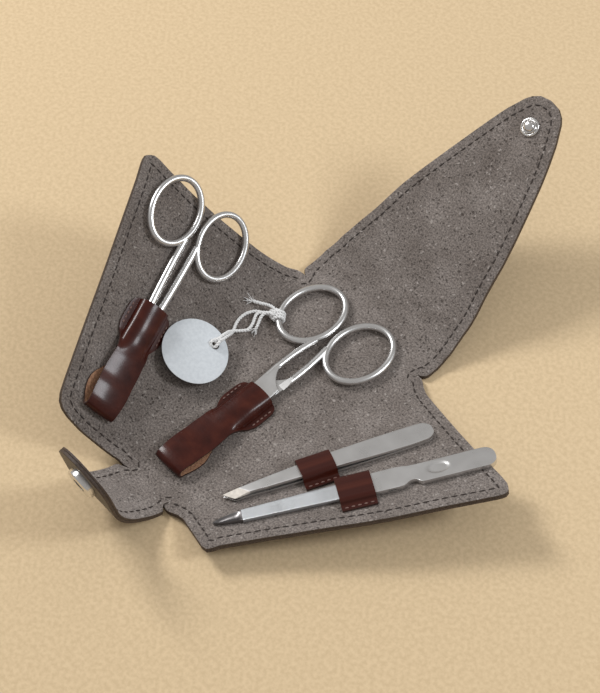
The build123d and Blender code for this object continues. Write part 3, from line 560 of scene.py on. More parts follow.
def blend_over_creases(name, strip, panel):
    """Bake the places of a fold's strip and panel into their meshes; their points already bend over
    the creases.
    """
    fold = folds[name]
    gap, split, bodies = fold["gap"], fold["split"], fold["bodies"]
    for pieces, start, end, inner_body, outer_body in (
        (strip, 0.0, min(7.0, split), bodies[0], bodies[1]),
        (panel, gap - 0.45 * (gap - split), gap + 5.0, bodies[1], bodies[2]),
    ):
        for piece in pieces:
            tuple(on_fold(name, 0, start))
            tuple(on_fold(name, 0, end))
            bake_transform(piece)


def middle_edge(side, y):
    """Where the left (-1) or right (1) edge of the middle is at y."""
    for (xa, ya), (xb, yb) in zip(middle_side[side], middle_side[side][1:]):
        if ya <= y <= yb:
            return xa + (xb - xa) * (y - ya) / (yb - ya)
    return middle_side[side][-1][0]


middle_rows = [-50.0, -49.6, -49.2, -48.85, -48.5, -48.0, -47.4]
middle_rows += [-47.4 + 96.0 * step / 64 for step in range(1, 65)]
middle_rows += [49.1, 49.5, 50.0, 50.7, 51.4, 52.4, 53.5, 54.5, 55.5]
middle_grid = []
for y in middle_rows:
    left_x, right_x = middle_edge(-1, y), middle_edge(1, y)
    for column in range(MIDDLE_COLUMNS + 1):
        middle_grid.append((left_x + (right_x - left_x) * column / MIDDLE_COLUMNS, y))
for piece in both_layers(
    "middle", on_middle, flat_on_middle, middle_grid, MIDDLE_COLUMNS, ("low", "high"),
    lambda x, y: y < -47.3 or y > 48.5,
):
    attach(piece, "middle")

for name, fold in folds.items():
    place, flat, columns = partial(on_fold, name), partial(flat_on_fold, name), fold["columns"]
    low, high = fold["strip_low"], fold["strip_high"]
    inner_edge, split_edge = (low[0], high[0]), (low[-1], high[-1])
    strip = both_layers(fold["bodies"][1], place, flat, four_sided(
        low, high, inner_edge, split_edge, columns, max(5, round(fold["split"] / 1.3))
    ), columns, ("low", "high"))
    panel = both_layers(fold["bodies"][2], place, flat, four_sided(
        fold["panel_low"], fold["panel_high"], split_edge, fold["end"], columns, fold["rows"]
    ), columns, ("low", "high", "outer"))
    blend_over_creases(name, strip, panel)

# ---------------------------------------------------------------- edge stitching
# One row of dark brown thread runs 3.3 mm inside every cut edge, each stitch a short
# raised dash.
STITCH_INSET = 3.3
STITCH_PITCH = 3.0
STITCH_LIFT = 0.03
thread = speckled_finish(
    "sewing_thread", 3000.0, 2.0, [(0.3, (0.014, 0.009, 0.007)), (0.7, (0.040, 0.026, 0.020))],
    Roughness=0.7,
)
bpy.ops.object.select_all(action="DESELECT")
bpy.ops.mesh.primitive_uv_sphere_add(segments=8, ring_count=6, radius=1)
stitch_model = bpy.context.object
stitch_model.data.transform(Matrix.Diagonal((1.15 * MM, 0.30 * MM, 0.22 * MM, 1)))
stitch_model.data.materials.append(thread)
bpy.ops.object.shade_smooth()


def inset_line(edge, inset):
    """A line inside an edge, without the points that a tight corner would double back."""
    count = max(8, round(sum(runs(edge)) / 0.5))
    dense = [along_line(edge, step / count) for step in range(count + 1)]
    inside = []
    for step in range(2, count - 1):
        before, after = dense[max(step - 3, 0)], dense[min(step + 3, count)]
        length = math.dist(before, after)
        normal = ((after[1] - before[1]) / length, -(after[0] - before[0]) / length)
        point = (dense[step][0] + normal[0] * inset, dense[step][1] + normal[1] * inset)
        if min(math.dist(point, other) for other in dense) > inset - 0.12:
            inside.append(point)
    return inside


def sew(name, line, place, wanted=everywhere, pitch=STITCH_PITCH, length=1.0, finish=thread):
    """Copies of the stitch along a line on the leather, joined into one piece."""
    total = sum(runs(line))
    count = max(1, round(total / pitch))
    reach = 0.3 * pitch / total
    made = []
    for step in range(count):
        share = (step + 0.5) / count
        u, s = along_line(line, share)
        if not wanted(u, s):
            continue
        before = place(*along_line(line, share - reach), STITCH_LIFT)
        after = place(*along_line(line, share + reach), STITCH_LIFT)
        along = (after - before).normalized()
        up = (place(u, s, 1) - place(u, s, 0)).normalized()
        across = up.cross(along).normalized()
        turned = Matrix((along, across, along.cross(across))).transposed().to_4x4()
        copy = stitch_model.copy()
        copy.data = stitch_model.data.copy()
        copy.data.transform(
            Matrix.Translation(place(u, s, STITCH_LIFT)) @ turned
            @ Matrix.Diagonal((length, 1, 1, 1))
        )
        scene.collection.objects.link(copy)
        made.append(copy)
    bpy.ops.object.select_all(action="DESELECT")
    for copy in made:
        copy.select_set(True)
    bpy.context.view_layer.objects.active = made[0]
    bpy.ops.object.join()
    piece = bpy.context.object
    piece.name = piece.data.name = name
    piece.data.materials[0] = finish
    return piece


for name, fold in folds.items():
    line = inset_line(
        fold["strip_low"][:-1] + fold["panel_low"][:-1] + fold["end"][:-1]
        + fold["panel_high"][:0:-1] + fold["strip_high"][::-1], STITCH_INSET,
    )
    place, split = partial(on_fold, name), fold["split"]
    inner = sew(name + "_strip_stitching", line, place, lambda u, s: 0 < s < split)
    outer = sew(name + "_stitching", line, place, lambda u, s: s >= split)
    blend_over_creases(name, [inner], [outer])
for label, line in {
    "flap_left": [
        (-27.1, 44.6), (-25.9, 46.2), (-25.6, 48.0), (-26.3, 50.0), (-27.3, 52.2), (-27.7, 55.4)
    ],
    "flap_right": [
        (27.4, 44.6), (26.2, 46.2), (25.9, 48.0), (26.4, 50.0), (27.3, 52.2), (27.7, 55.4)
    ],
    "tab_left": [(-8.4, -43.6), (-6.6, -44.4), (-6.2, -46.2), (-7.2, -47.8), (-8.7, -49.9)],
    "tab_right": [(10.3, -43.6), (8.9, -44.4), (7.9, -46.0), (8.1, -47.8), (8.7, -49.9)],
}.items():
    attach(sew("middle_stitching_" + label, line, on_middle), "middle")

# ---------------------------------------------------------------- tool sheaths
# Each pair of scissors sits in one strap of glossy burgundy leather. It is folded
# under at its closed end, domes over the blades and is sewn down by two ears.
strap, tree, shader = new_finish(
    "burgundy_leather", Roughness=0.4, Specular_IOR_Level=0.1, Coat_Weight=0.32,
    Coat_Roughness=0.17,
)
strap_way = surface_way(tree, "UV")
grain = add_node(tree, "ShaderNodeGroup", {
    "Vector": strap_way, "Scale": 150.0
}, node_tree=leather_grain).outputs
stretched = add_node(tree, "ShaderNodeMapping", {"Vector": strap_way, "Scale": (95.0, 22.0, 1.0)})
cross_wrinkles = grey_noise(tree, stretched.outputs["Vector"], 1.0, 3.0, 0.6)
tree.links.new(colour_steps(tree, grain["Mottle"], [
    (0.25, (0.028, 0.0045, 0.0025)), (0.5, (0.048, 0.0085, 0.0048)), (0.8, (0.078, 0.017, 0.009))
]), shader.inputs["Base Color"])
bump_into(tree, shader, maths(
    tree, "MULTIPLY_ADD", grain["Height"], 0.3, cross_wrinkles
), 0.00010, 0.8)
raw_side = speckled_finish(
    "raw_leather", 1500.0, 4.0, [(0.3, (0.22, 0.10, 0.055)), (0.7, (0.50, 0.28, 0.16))],
    (0.00015, 0.7), Roughness=0.9, Sheen_Weight=0.2,
)
strap_edge = speckled_finish(
    "strap_edge", 2400.0, 3.0, [(0.3, (0.020, 0.006, 0.004)), (0.7, (0.055, 0.022, 0.014))],
    Roughness=0.6,
)
seam_thread = speckled_finish(
    "seam_thread", 3000.0, 2.0, [(0.3, (0.10, 0.045, 0.035)), (0.7, (0.24, 0.14, 0.115))],
    Roughness=0.55,
)

STRAP_THICKNESS = 0.8
SHEATH_LENGTH = 41.7
SHEATH_COLUMNS = 32
FOLD_START = 2.0
FOLD_STEPS = 10
UNDERSIDE_HEIGHT = 0.05
sheath_half_widths = [
    (0, 5.6), (8, 6.2), (16, 6.2), (22, 5.9), (26.5, 6.1), (28.2, 6.9), (29.4, 7.7), (31, 8.3),
    (33, 8.5), (38.4, 8.4), (40.0, 8.0), (41.0, 7.2), (41.4, 6.5), (41.7, 5.9),
]
sheath_heights = [
    (0, 4.3), (4, 4.75), (8, 4.6), (14.5, 3.95), (20, 4.0), (27, 4.6), (33, 4.9), (41.7, 4.6)
]


def read_off(pairs, x, ease=smooth):
    """The value at x on a line through (x, value) pairs, smooth or (clamp) straight."""
    for (xa, ya), (xb, yb) in zip(pairs, pairs[1:]):
        if x <= xb:
            return ya + (yb - ya) * ease((x - xa) / (xb - xa))
    return pairs[-1][1]


def sheath_section(x, t):
    """Across the strap at x from the fold: t from -1 to 1 runs from one edge to the other."""
    half = read_off(sheath_half_widths, x)
    height = read_off(sheath_heights, x)
    side = 1 if t >= 0 else -1
    dome_share, wall, sewn_height = 0.68, 5.65, 0.9
    q = min(abs(t) / dome_share, 1.0)
    ear = clamp((abs(t) - dome_share) / (1 - dome_share))
    free_y = half * (0.86 * q + 0.14 * ear)
    free_z = height - 0.5 * (free_y / half) ** 2
    angle = q * math.pi / 2
    sewn_y = wall * math.sin(angle) ** 0.94 + max(half - wall, 0.15) * ear
    dome = (height - sewn_height) * max(math.cos(angle), 0.0) ** 0.8
    sewn_z = sewn_height + dome + 0.1 * ear * (1 - ear)
    down = smooth((x - 21.5) / 7.5)
    return side * (free_y + (sewn_y - free_y) * down), free_z + (sewn_z - free_z) * down


def sheath_grid(lens_reach):
    """Rows of points from the mouth over the top, round the fold and back underneath."""
    shares = [2 * c / SHEATH_COLUMNS - 1 for c in range(SHEATH_COLUMNS + 1)]
    grid = []
    for x in [SHEATH_LENGTH - 0.1, 41.4, 41.0, 40.4, 39.6] + [39.0 - step for step in range(37)]:
        grid.append([(x, *sheath_section(x, t)) for t in shares])
    for step in range(1, FOLD_STEPS):
        turn = math.pi * step / FOLD_STEPS
        row = []
        for t in shares:
            y, z = sheath_section(FOLD_START, t)
            radius = (z - UNDERSIDE_HEIGHT) / 2
            row.append((
                FOLD_START - radius * math.sin(turn), y,
                UNDERSIDE_HEIGHT + radius + radius * math.cos(turn),
            ))
        grid.append(row)
    for x in (2.4, 4, 6, 8, 10, 12, 14, 15.5):
        lens = lens_reach * math.sin(math.pi * clamp((x - 1.5) / 14.5)) ** 0.8
        half = read_off(sheath_half_widths, x) - 0.2 - 1.2 * smooth((x - 10) / 5.5)
        grid.append([
            (x, half * t + lens * smooth((t + 1) * 0.7 - 0.2), UNDERSIDE_HEIGHT) for t in shares
        ])
    return grid


def plane_matrix(origin, along, across):
    """From millimetres on a plane of the leather to metres in the frame."""
    x, y = Vector(along).normalized(), Vector(across).normalized()
    turned = Matrix((x, y, x.cross(y))).transposed().to_4x4()
    return Matrix.Translation(origin) @ turned @ Matrix.Diagonal((MM, MM, MM, 1))


def over_plane(plane, height, x, y, h):
    """The place of a seam's point at a height over such a plane."""
    return plane @ Vector((x, y, height + h))


def fix_to(piece, body, node):
    """Attach a piece to the body that carries it, and hide the CAD solid it stands for."""
    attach(piece, body)
    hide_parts(node)


def strap_piece(name, rows, place, body, node):
    """A strap from rows of (x, y, z) on its outer face, thickened inwards."""
    columns = len(rows[0]) - 1
    piece = new_grid(name, columns, len(rows) - 1)
    mesh = piece.data
    middle = columns // 2
    travelled = [0.0]
    for run in runs([row[middle] for row in rows]):
        travelled.append(travelled[-1] + run)
    for index, vertex in enumerate(mesh.vertices):
        row, column = divmod(index, columns + 1)
        vertex.co = place @ Vector(rows[row][column])
    for loop in mesh.loops:
        row, column = divmod(loop.vertex_index, columns + 1)
        mesh.uv_layers[0].data[loop.index].uv = (
            travelled[row] / PATTERN_UNIT, rows[row][column][1] / PATTERN_UNIT
        )
    for finish in (strap, strap_edge, raw_side):
        mesh.materials.append(finish)
    top_face = mesh.polygons[len(rows) // 2 * columns + middle]
    face_towards(mesh, top_face, place.to_3x3() @ Vector((0, 0, 1)))
    apply_modifier(
        piece, "SOLIDIFY", thickness=STRAP_THICKNESS * MM, offset=-1, use_quality_normals=True,
        material_offset=2, material_offset_rim=1,
    )
    bpy.ops.object.shade_smooth_by_angle(angle=math.radians(50))
    fix_to(piece, body, node)
    return piece


left_sheath_place = plane_matrix(
    (-0.02677, -0.04572, 0.01237), (-0.37767, 0.90862, 0.17824), (-0.616, -0.39027, 0.68427)
)
middle_sheath_place = plane_matrix(
    (0.00025, -0.0379, 0.0019), (-0.02792, 0.99961, 0), (-0.99961, -0.02792, 0)
)
strap_piece("left_tool_sheath", sheath_grid(2.0), left_sheath_place, "left_wing", "left_sheath")
mirrored_grid = [[(x, -y, z) for x, y, z in reversed(row)] for row in sheath_grid(0.9)]
middle_sheath = strap_piece(
    "middle_tool_sheath", mirrored_grid, middle_sheath_place, "middle", "middle_sheath"
)
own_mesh(middle_sheath)
for side, side_label in ((-1, "_sheath_seam_low"), (1, "_sheath_seam_high")):
    for label, plane, body in (
        ("left", left_sheath_place, "left_wing"), ("middle", middle_sheath_place, "middle")
    ):
        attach(sew(
            label + side_label, [(30.6, side * 7.3), (39.4, side * 7.4)],
            partial(over_plane, plane, 0.98), pitch=1.8, length=0.55, finish=seam_thread,
        ), body)


# ---------------------------------------------------------------- strap loops
# Two short straps of the same leather arch over the tweezers and the file. The side
# towards the wing's edge turns out into a flange that is sewn to the suede.
LOOP_LENGTH = 11.6
FLANGE_WIDTH = 2.4


def loop_rows(x_middle, half, top):
    """Rows along the arch's section, each row running along the tool."""
    outer_half = half + STRAP_THICKNESS
    corner = min(1.7, top - 0.6)
    quarter = math.pi / 2

    def corner_point(side, angle):
        return (
            side * (outer_half - corner + corner * math.cos(angle)),
            top + STRAP_THICKNESS - corner + corner * math.sin(angle),
        )

    section = [(outer_half, 0.05), (outer_half, top * 0.5)]
    section += [corner_point(1, quarter * step / 6) for step in range(1, 7)]
    for step in range(1, 8):
        way = 1 - 2 * (step / 8)
        section.append(((outer_half - corner) * way, top + STRAP_THICKNESS + 0.25 * (1 - way ** 2)))
    section += [corner_point(-1, quarter * (1 - step / 6)) for step in range(6)]
    section += [(-outer_half, top * 0.62), (-outer_half - 0.1, 1.3), (-outer_half - 0.5, 0.95)]
    section += [(-outer_half - 1.2, 0.86), (-outer_half - FLANGE_WIDTH, 0.86)]
    return [
        [(x_middle + LOOP_LENGTH * (c / 10 - 0.5), y, z) for c in range(11)] for y, z in section
    ]


tweezers_place = plane_matrix(
    (0.02312, -0.03284, 0.00376), (0.38464, 0.92103, 0.06129), (-0.87734, 0.38541, -0.28588)
)
file_place = plane_matrix(
    (0.02772, -0.04169, 0.00566), (0.493, 0.86459, 0.09712), (-0.82136, 0.49932, -0.27577)
)
loops = (
    ("tweezers_loop", "tweezer_band", 31.5, 4.0, 3.45, tweezers_place),
    ("file_loop", "file_band", 46.5, 4.9, 2.35, file_place),
)
for label, node, x_middle, half, top, plane in loops:
    strap_piece(label, loop_rows(x_middle, half, top), plane, "right_wing", node)
for label, _, x_middle, half, _, plane in loops:
    seam_y = -(half + STRAP_THICKNESS + 1.5)
    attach(sew(
        label + "_seam", [(x_middle - 5.2, seam_y), (x_middle + 5.2, seam_y)],
        partial(over_plane, plane, 0.9), pitch=2.1, length=0.6, finish=seam_thread,
    ), "right_wing")
bpy.data.objects.remove(stitch_model)

# ---------------------------------------------------------------- scissors
# Both pairs are forged stainless steel, two halves that turn on a slotted screw. Their
# CAD solids stay in view, with a satin, bead-blasted finish on every face.
satin_lines, group_in, group_out = new_group(
    "satin_lines", {"Vector": "Vector", "Depth": "Float"}, {"Roughness": "Float", "Height": "Float"}
)
satin_lines.links.new(maths(
    satin_lines, "MULTIPLY_ADD", grey_noise(satin_lines, group_in["Vector"], 180.0, 3.0),
    group_in["Depth"], 0.20,
), group_out["Roughness"])
satin_lines.links.new(
    grey_noise(satin_lines, group_in["Vector"], 5200.0), group_out["Height"]
)


def steel_finish(name, tone, depth, grit, **values):
    """Steel of one tone: depth is how far its gloss varies, grit how rough it is in metres."""
    material, tree, shader = new_finish(name, Metallic=1.0, Base_Color=(*tone, 1), **values)
    satin = add_node(tree, "ShaderNodeGroup", {
        "Vector": surface_way(tree, "Object"), "Depth": depth
    }, node_tree=satin_lines).outputs
    tree.links.new(satin["Roughness"], shader.inputs["Roughness"])
    bump_into(tree, shader, satin["Height"], grit, 0.5)
    return material


def finish_solids(nodes, finish):
    """Give CAD solids that stay in view a finish of their own."""
    for node in nodes:
        for shown_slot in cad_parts[node].material_slots:
            shown_slot.link = "OBJECT"
            shown_slot.material = finish


satin_steel = steel_finish("satin_steel", (0.70, 0.695, 0.69), 0.20, 0.000006)
finish_solids((
    "nail_scissors_upper", "nail_scissors_lower", "nail_scissors_screw",
    "cuticle_scissors_upper", "cuticle_scissors_lower", "cuticle_scissors_screw",
), satin_steel)


# ---------------------------------------------------------------- tweezers
# Two stamped steel arms, welded at the round rear end. They widen from a tip that is
# ground off at a slant, and the upper arm's tip has a polished bevel.
ARM_LENGTH = 72.0
ARM_COLUMNS = 12
ARM_ROUND_END = 68
ARM_EDGE = 0.05
TIP_SLANT = 0.94
BEVEL_LENGTH = 7.0
arm_half_widths = [
    (0, 1.75), (3, 1.7), (7, 1.6), (10, 1.8), (14, 2.2), (24.5, 2.8), (37, 3.5), (54, 4.1),
    (64, 4.2), (68, 4.0),
]
arm_undersides = [(0, 1.62), (8, 1.85), (18, 2.0), (38, 2.0), (64, 1.14), (ARM_LENGTH, 1.14)]


def slab(name, top_rows, bottom_rows, place, finishes, bevel):
    """A plate from rows of points on its top face and the rows below them."""
    columns = len(top_rows[0]) - 1
    piece = new_grid(name, columns, len(top_rows) - 1)
    mesh = piece.data
    for finish in finishes:
        mesh.materials.append(finish)
    apply_modifier(piece, "SOLIDIFY", thickness=MM, offset=-1)
    points = [point for row in (*top_rows, *bottom_rows) for point in row]
    for vertex, point in zip(mesh.vertices, points):
        vertex.co = place @ Vector(point)
    mesh.update()
    top_face = mesh.polygons[len(top_rows) // 2 * columns + columns // 2]
    face_towards(mesh, top_face, place.to_3x3() @ Vector((0, 0, 1)))
    apply_modifier(
        piece, "BEVEL", width=bevel * MM, segments=2, limit_method="ANGLE",
        angle_limit=math.radians(38),
    )
    bpy.ops.object.shade_smooth_by_angle(angle=math.radians(28))
    return piece


def arm_rows(outer_heights, inner_heights):
    """Rows of points of one arm: its outer face, and the face towards the other arm."""
    stations = [1.65 + 0.5 * step for step in range(11)] + [7.0, 7.3]
    stations += [8.0 + 1.5 * step for step in range(40)]
    stations += [68.4 + 0.3 * step for step in range(11)] + [71.6, 71.75]
    faces = [], []
    for x in stations:
        half = read_off(arm_half_widths, x, clamp)
        if x > ARM_ROUND_END:
            half = 4.0 * math.sqrt(max(1 - ((x - ARM_ROUND_END) / 3.95) ** 2, 0.04))
        slant = TIP_SLANT * (1 - smooth((x - 7) / 9))
        row = [half * (2 * c / ARM_COLUMNS - 1) for c in range(ARM_COLUMNS + 1)]
        for face, heights in zip(faces, (outer_heights, inner_heights)):
            z = sum(read_off(pairs, x, clamp) for pairs in heights)
            face.append([(x - slant * y, y, z) for y in row])
    return faces


# Painted reflection: the polished bevel on the upper arm's tip is a pale warm non-metal, whose colour
# stands in for the steel's bright reflection.
painted_reflection_bevel = speckled_finish(
    "bevel_painted_reflection", 900.0, 2.0, [(0.3, (0.64, 0.59, 0.53)), (0.7, (0.80, 0.74, 0.66))],
    Roughness=0.5, Specular_IOR_Level=0.3,
)
upper_arm = slab("tweezers_top_arm", *arm_rows(
    [arm_undersides, [(1.6, 0.22), (BEVEL_LENGTH, 1.0), (ARM_LENGTH, 1.0)]], [arm_undersides]
), tweezers_place, [satin_steel, painted_reflection_bevel], ARM_EDGE)
# The faces of the tip's bevel take the painted reflection.
for face in upper_arm.data.polygons:
    local = tweezers_place.inverted() @ face.center
    face.material_index = int(local.x + TIP_SLANT * local.y < BEVEL_LENGTH - 0.1 and local.z > 1.75)
fix_to(upper_arm, "tweezers_arm", "tweezers_upper_arm")
lower_arm = slab("tweezers_bottom_arm", *arm_rows(
    [[(0, 1.05), (10, 1.1), (ARM_LENGTH, 1.1)]],
    [[(1.6, 0.8), (BEVEL_LENGTH, 0.1), (ARM_LENGTH, 0.1)]],
), tweezers_place, [satin_steel], ARM_EDGE)
fix_to(lower_arm, "tweezers", "tweezers_lower_arm")

# ---------------------------------------------------------------- nail file
# A flat steel blade, rough all over, ends in a hollow-ground nail cleaner. The handle
# is a steel plate with a thumb dish, a scalloped notch and a small slot in one side.
CLEANER_END = 9.75
HANDLE_ROUND_END = 88.4
HANDLE_END = 92.6
HANDLE_THICKNESS = 1.8
HANDLE_FLOOR = 0.1
HANDLE_COLUMNS = 22
file_grit = steel_finish("file_grit", (0.56, 0.58, 0.60), 0.42, 0.00011)
# Painted shade: the nail cleaner is the same steel given a dark tone, which stands in for the dark
# reflections in its hollow grind.
cleaner_painted_shade = steel_finish("cleaner_painted_shade", (0.20, 0.19, 0.19), 0.25, 0.000008)
blade_half_widths = [
    (0.2, 0.2), (1.5, 0.8), (4, 1.35), (8, 1.9), (9.7, 2.15), (9.9, 2.35), (22.5, 2.7),
    (41, 3.3), (50, 3.4),
]
blade_top, blade_bottom = [], []
stations = [0.2, 0.5, 1.0, 1.5, 2.2, 3, 4, 5, 6, 7, 8, 8.8, 9.5, 9.7, 9.9, 10.4]
stations += [12 + 2 * step for step in range(19)] + [49.6]
for x in stations:
    half = read_off(blade_half_widths, x, clamp)
    tip_fall = 0.45 * (1 - smooth(x / 8))
    scoop = 0.6 * smooth(x / 2) * (1 - smooth((x - 8.3) / 1.2))
    row = [half * (c / 5 - 1) for c in range(11)]
    blade_top.append([(x, y, 1.6 - tip_fall - scoop * (1 - (y / half) ** 2)) for y in row])
    blade_bottom.append([(x, y, 0.4 + tip_fall * 0.3) for y in row])
blade = slab("file_plate", blade_top, blade_bottom, file_place, [file_grit, cleaner_painted_shade], 0.14)
# Faces before the cleaner's end take the dark painted shade.
for face in blade.data.polygons:
    face.material_index = int((file_place.inverted() @ face.center).x < CLEANER_END)
fix_to(blade, "nail_file", "file_blade")

handle_high = [
    (48.6, 3.75), (53.6, 4.3), (60.4, 4.4), (62.5, 4.2), (64.5, 3.75), (67.5, 3.65), (88.4, 4.0)
]
handle_low = [
    (48.6, -4.1), (54, -4.4), (60.0, -4.45), (61.6, -4.3), (62.6, -3.85), (63.6, -3.1),
    (64.4, -2.75), (65.4, -2.65), (66.2, -3.0), (66.9, -3.8), (67.7, -4.4), (69, -4.5), (88.4, -4.3),
]
dish_centre, dish_reach = (73.8, 0.1), (4.2, 2.7)
handle_top, handle_bottom = [], []
stations = [48.6 + 0.4 * step for step in range(100)] + [88.5, 88.9, 89.4, 89.9, 90.4]
stations += [90.8, 91.2, 91.5, 91.8, 92.0, 92.2, 92.35, 92.48, 92.55]
for x in stations:
    high, low = read_off(handle_high, x), read_off(handle_low, x)
    if x > HANDLE_ROUND_END:
        part = (x - HANDLE_ROUND_END) / (HANDLE_END - HANDLE_ROUND_END)
        share = max(1 - part ** 2.6, 0.0) ** (1 / 2.2)
        middle_y = (high + low) / 2
        high, low = middle_y + (high - middle_y) * share, middle_y + (low - middle_y) * share
    row = [low + (high - low) * c / HANDLE_COLUMNS for c in range(HANDLE_COLUMNS + 1)]
    top_row = []
    for y in row:
        reach = math.hypot((x - dish_centre[0]) / dish_reach[0], (y - dish_centre[1]) / dish_reach[1])
        dish = 0.28 * smooth((1 - reach) / 0.35)
        top_row.append((x, y, HANDLE_FLOOR + HANDLE_THICKNESS - dish))
    handle_top.append(top_row)
    handle_bottom.append([(x, y, HANDLE_FLOOR) for y in row])


def make_active(piece):
    """Leave this piece selected alone, so that operators work on it."""
    bpy.ops.object.select_all(action="DESELECT")
    piece.select_set(True)
    bpy.context.view_layer.objects.active = piece


def cut_away(piece, cutter):
    """Take the cutter's shape out of a piece."""
    make_active(piece)
    apply_modifier(piece, "BOOLEAN", operation="DIFFERENCE", solver="EXACT", object=cutter)
    bpy.data.objects.remove(cutter)


handle = slab("file_grip", handle_top, handle_bottom, file_place, [satin_steel], 0.3)
bpy.ops.object.select_all(action="DESELECT")
bpy.ops.mesh.primitive_cube_add(size=1)
slot_cutter = bpy.context.object
slot_cutter.data.transform(
    file_place @ Matrix.Translation((57.9, -4.6, 1.05)) @ Matrix.Diagonal((3.2, 1.6, 0.42, 1))
)
cut_away(handle, slot_cutter)
fix_to(handle, "nail_file", "file_handle")

# ---------------------------------------------------------------- snap fastener
# Nickel-plated brass: the stud and its cap are clenched through the flap, the socket
# and its cap through the tab. The stud has a rolled rim round a ball on a neck.
STUD_STEPS = 56
snap_metal = steel_finish("snap_metal", (0.72, 0.71, 0.70), 0.0, 0.0, Coat_Weight=0.3)
finish_solids(("flap_snap_cap", "snap_socket", "tab_snap_cap"), snap_metal)
stud_profile = [
    (0, 0.02), (3.3, 0.02), (3.42, 0.2), (3.45, 0.6), (3.3, 0.85), (3.0, 0.98), (2.7, 0.92),
    (2.5, 0.7), (2.42, 0.45), (2.1, 0.36), (1.75, 0.4), (1.6, 0.6), (1.62, 0.95), (1.85, 1.3),
    (1.95, 1.65), (1.85, 1.98), (1.55, 2.3), (1.1, 2.5), (0.6, 2.58), (0, 2.6),
]
stud_place = plane_matrix((0, 0.12673, 0.04506), (1, 0, 0), (0, 0.80902, 0.58779))
stud = new_grid("flap_stud", STUD_STEPS, len(stud_profile) - 1)
for index, vertex in enumerate(stud.data.vertices):
    row, column = divmod(index, STUD_STEPS + 1)
    radius, height = stud_profile[row]
    angle = 2 * math.pi * (column % STUD_STEPS) / STUD_STEPS
    vertex.co = stud_place @ Vector((radius * math.cos(angle), radius * math.sin(angle), height))
stud.data.materials.append(snap_metal)
bpy.ops.object.mode_set(mode="EDIT")
bpy.ops.mesh.select_all(action="SELECT")
bpy.ops.mesh.remove_doubles(threshold=0.000001)
bpy.ops.mesh.normals_make_consistent(inside=False)
bpy.ops.object.mode_set(mode="OBJECT")
bpy.ops.object.shade_smooth_by_angle(angle=math.radians(50))
fix_to(stud, "flap", "snap_stud")

# ---------------------------------------------------------------- hang tag
# A round card tag: pale satin grey face, a white bevel on its cut rim, a dark back, one punched hole.
# The dark of the back also covers the rim's wall and the hole's wall below the bevel, as painted
# shade along the tag's edge. It hangs by its string from the nail scissors and lies over the left
# fold.
TAG_RADIUS = 11.7
TAG_THICKNESS = 0.8
tag_hole = (3.521, 6.622)
tag_place = plane_matrix(
    (-0.0252, -0.0046, 0.0097), (0.89612, 0.17815, -0.40649), (-0.21008, 0.97706, -0.0349)
)
tag_face = speckled_finish(
    "tag_face", 900.0, 3.0, [(0.35, (0.64, 0.68, 0.715)), (0.65, (0.71, 0.75, 0.785))],
    (0.00004, 0.4), Roughness=0.45,
)
tag_rim = speckled_finish(
    "tag_rim", 1500.0, 2.0, [(0.35, (0.86, 0.87, 0.88)), (0.65, (0.93, 0.94, 0.95))],
    Roughness=0.6,
)
tag_back_and_rim_shade = speckled_finish(
    "tag_back_and_rim_shade", 1200.0, 2.0, [(0.35, (0.03, 0.03, 0.035)), (0.65, (0.06, 0.06, 0.07))],
    Roughness=0.7,
)


def crumple_with_wing(piece):
    """Give a piece that lies across the left fold a mesh of its own."""
    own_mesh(piece)


bpy.ops.object.select_all(action="DESELECT")
bpy.ops.mesh.primitive_cylinder_add(
    vertices=128, radius=TAG_RADIUS, depth=TAG_THICKNESS, location=(0, 0, 0)
)
tag = bpy.context.object
tag.name = tag.data.name = "round_tag"
tag.data.transform(Matrix.Translation((0, 0, TAG_THICKNESS / 2)))
for finish in (tag_face, tag_rim, tag_back_and_rim_shade):
    tag.data.materials.append(finish)
apply_modifier(tag, "BEVEL", width=0.16, segments=2, limit_method="ANGLE")
bpy.ops.mesh.primitive_cylinder_add(vertices=40, radius=1.5, depth=4, location=(*tag_hole, 0.4))
cut_away(tag, bpy.context.object)
# Painted shade: the rim's wall and the hole's wall take the dark back's colour; only the top bevel is
# white.
for face in tag.data.polygons:
    if face.normal.z > 0.9:
        face.material_index = 0
    else:
        face.material_index = 1 if face.center.z > 0.55 else 2
tag.data.transform(tag_place)
bpy.ops.object.shade_smooth_by_angle(angle=math.radians(30))
fix_to(tag, "nail_scissors", "hang_tag")
crumple_with_wing(tag)

# ---------------------------------------------------------------- tag string
# White cotton, two plies twisted together. It leaves the tag's hole over the rim, lies
# on the left fold and is knotted round the upper finger ring, with two frayed ends.
STRING_DIAMETER = 0.0012
STRING_LAY = 0.0021
STRING_STEP = 0.00022
PLY_RADIUS = 0.29
PLY_OFFSET = 0.22
WRAP_RADIUS = 0.00178
WRAP_PITCH = 0.0005
WRAP_STEPS = 24
FRAY_FIBRES = 26
FRAY_LENGTH = 0.0019
cotton = speckled_finish(
    "white_cotton", 5000.0, 3.0, [(0.3, (0.74, 0.74, 0.735)), (0.65, (0.95, 0.95, 0.945))],
    (0.0001, 0.8), Roughness=0.95, Sheen_Weight=0.3,
)
string_route = [
    (-0.022907, 0.003374, 0.009342), (-0.023215, 0.008283, 0.008847), (-0.0252, 0.0122, 0.0050),
    (-0.0278, 0.0160, 0.0053), (-0.0285, 0.0203, 0.0052), (-0.0274, 0.0242, 0.0046),
    (-0.0242, 0.0266, 0.0039), (-0.021253, 0.027861, 0.0039),
]


def new_curve(name):
    """An empty curve in space."""
    curve = bpy.data.curves.new(name, "CURVE")
    curve.dimensions = "3D"
    return curve


def add_way(curve, points, kind="POLY"):
    """One more line of a curve, through points in metres."""
    spline = curve.splines.new(kind)
    spline.points.add(len(points) - 1)
    for point, place in zip(spline.points, points):
        point.co = (*place, 1)
    return spline


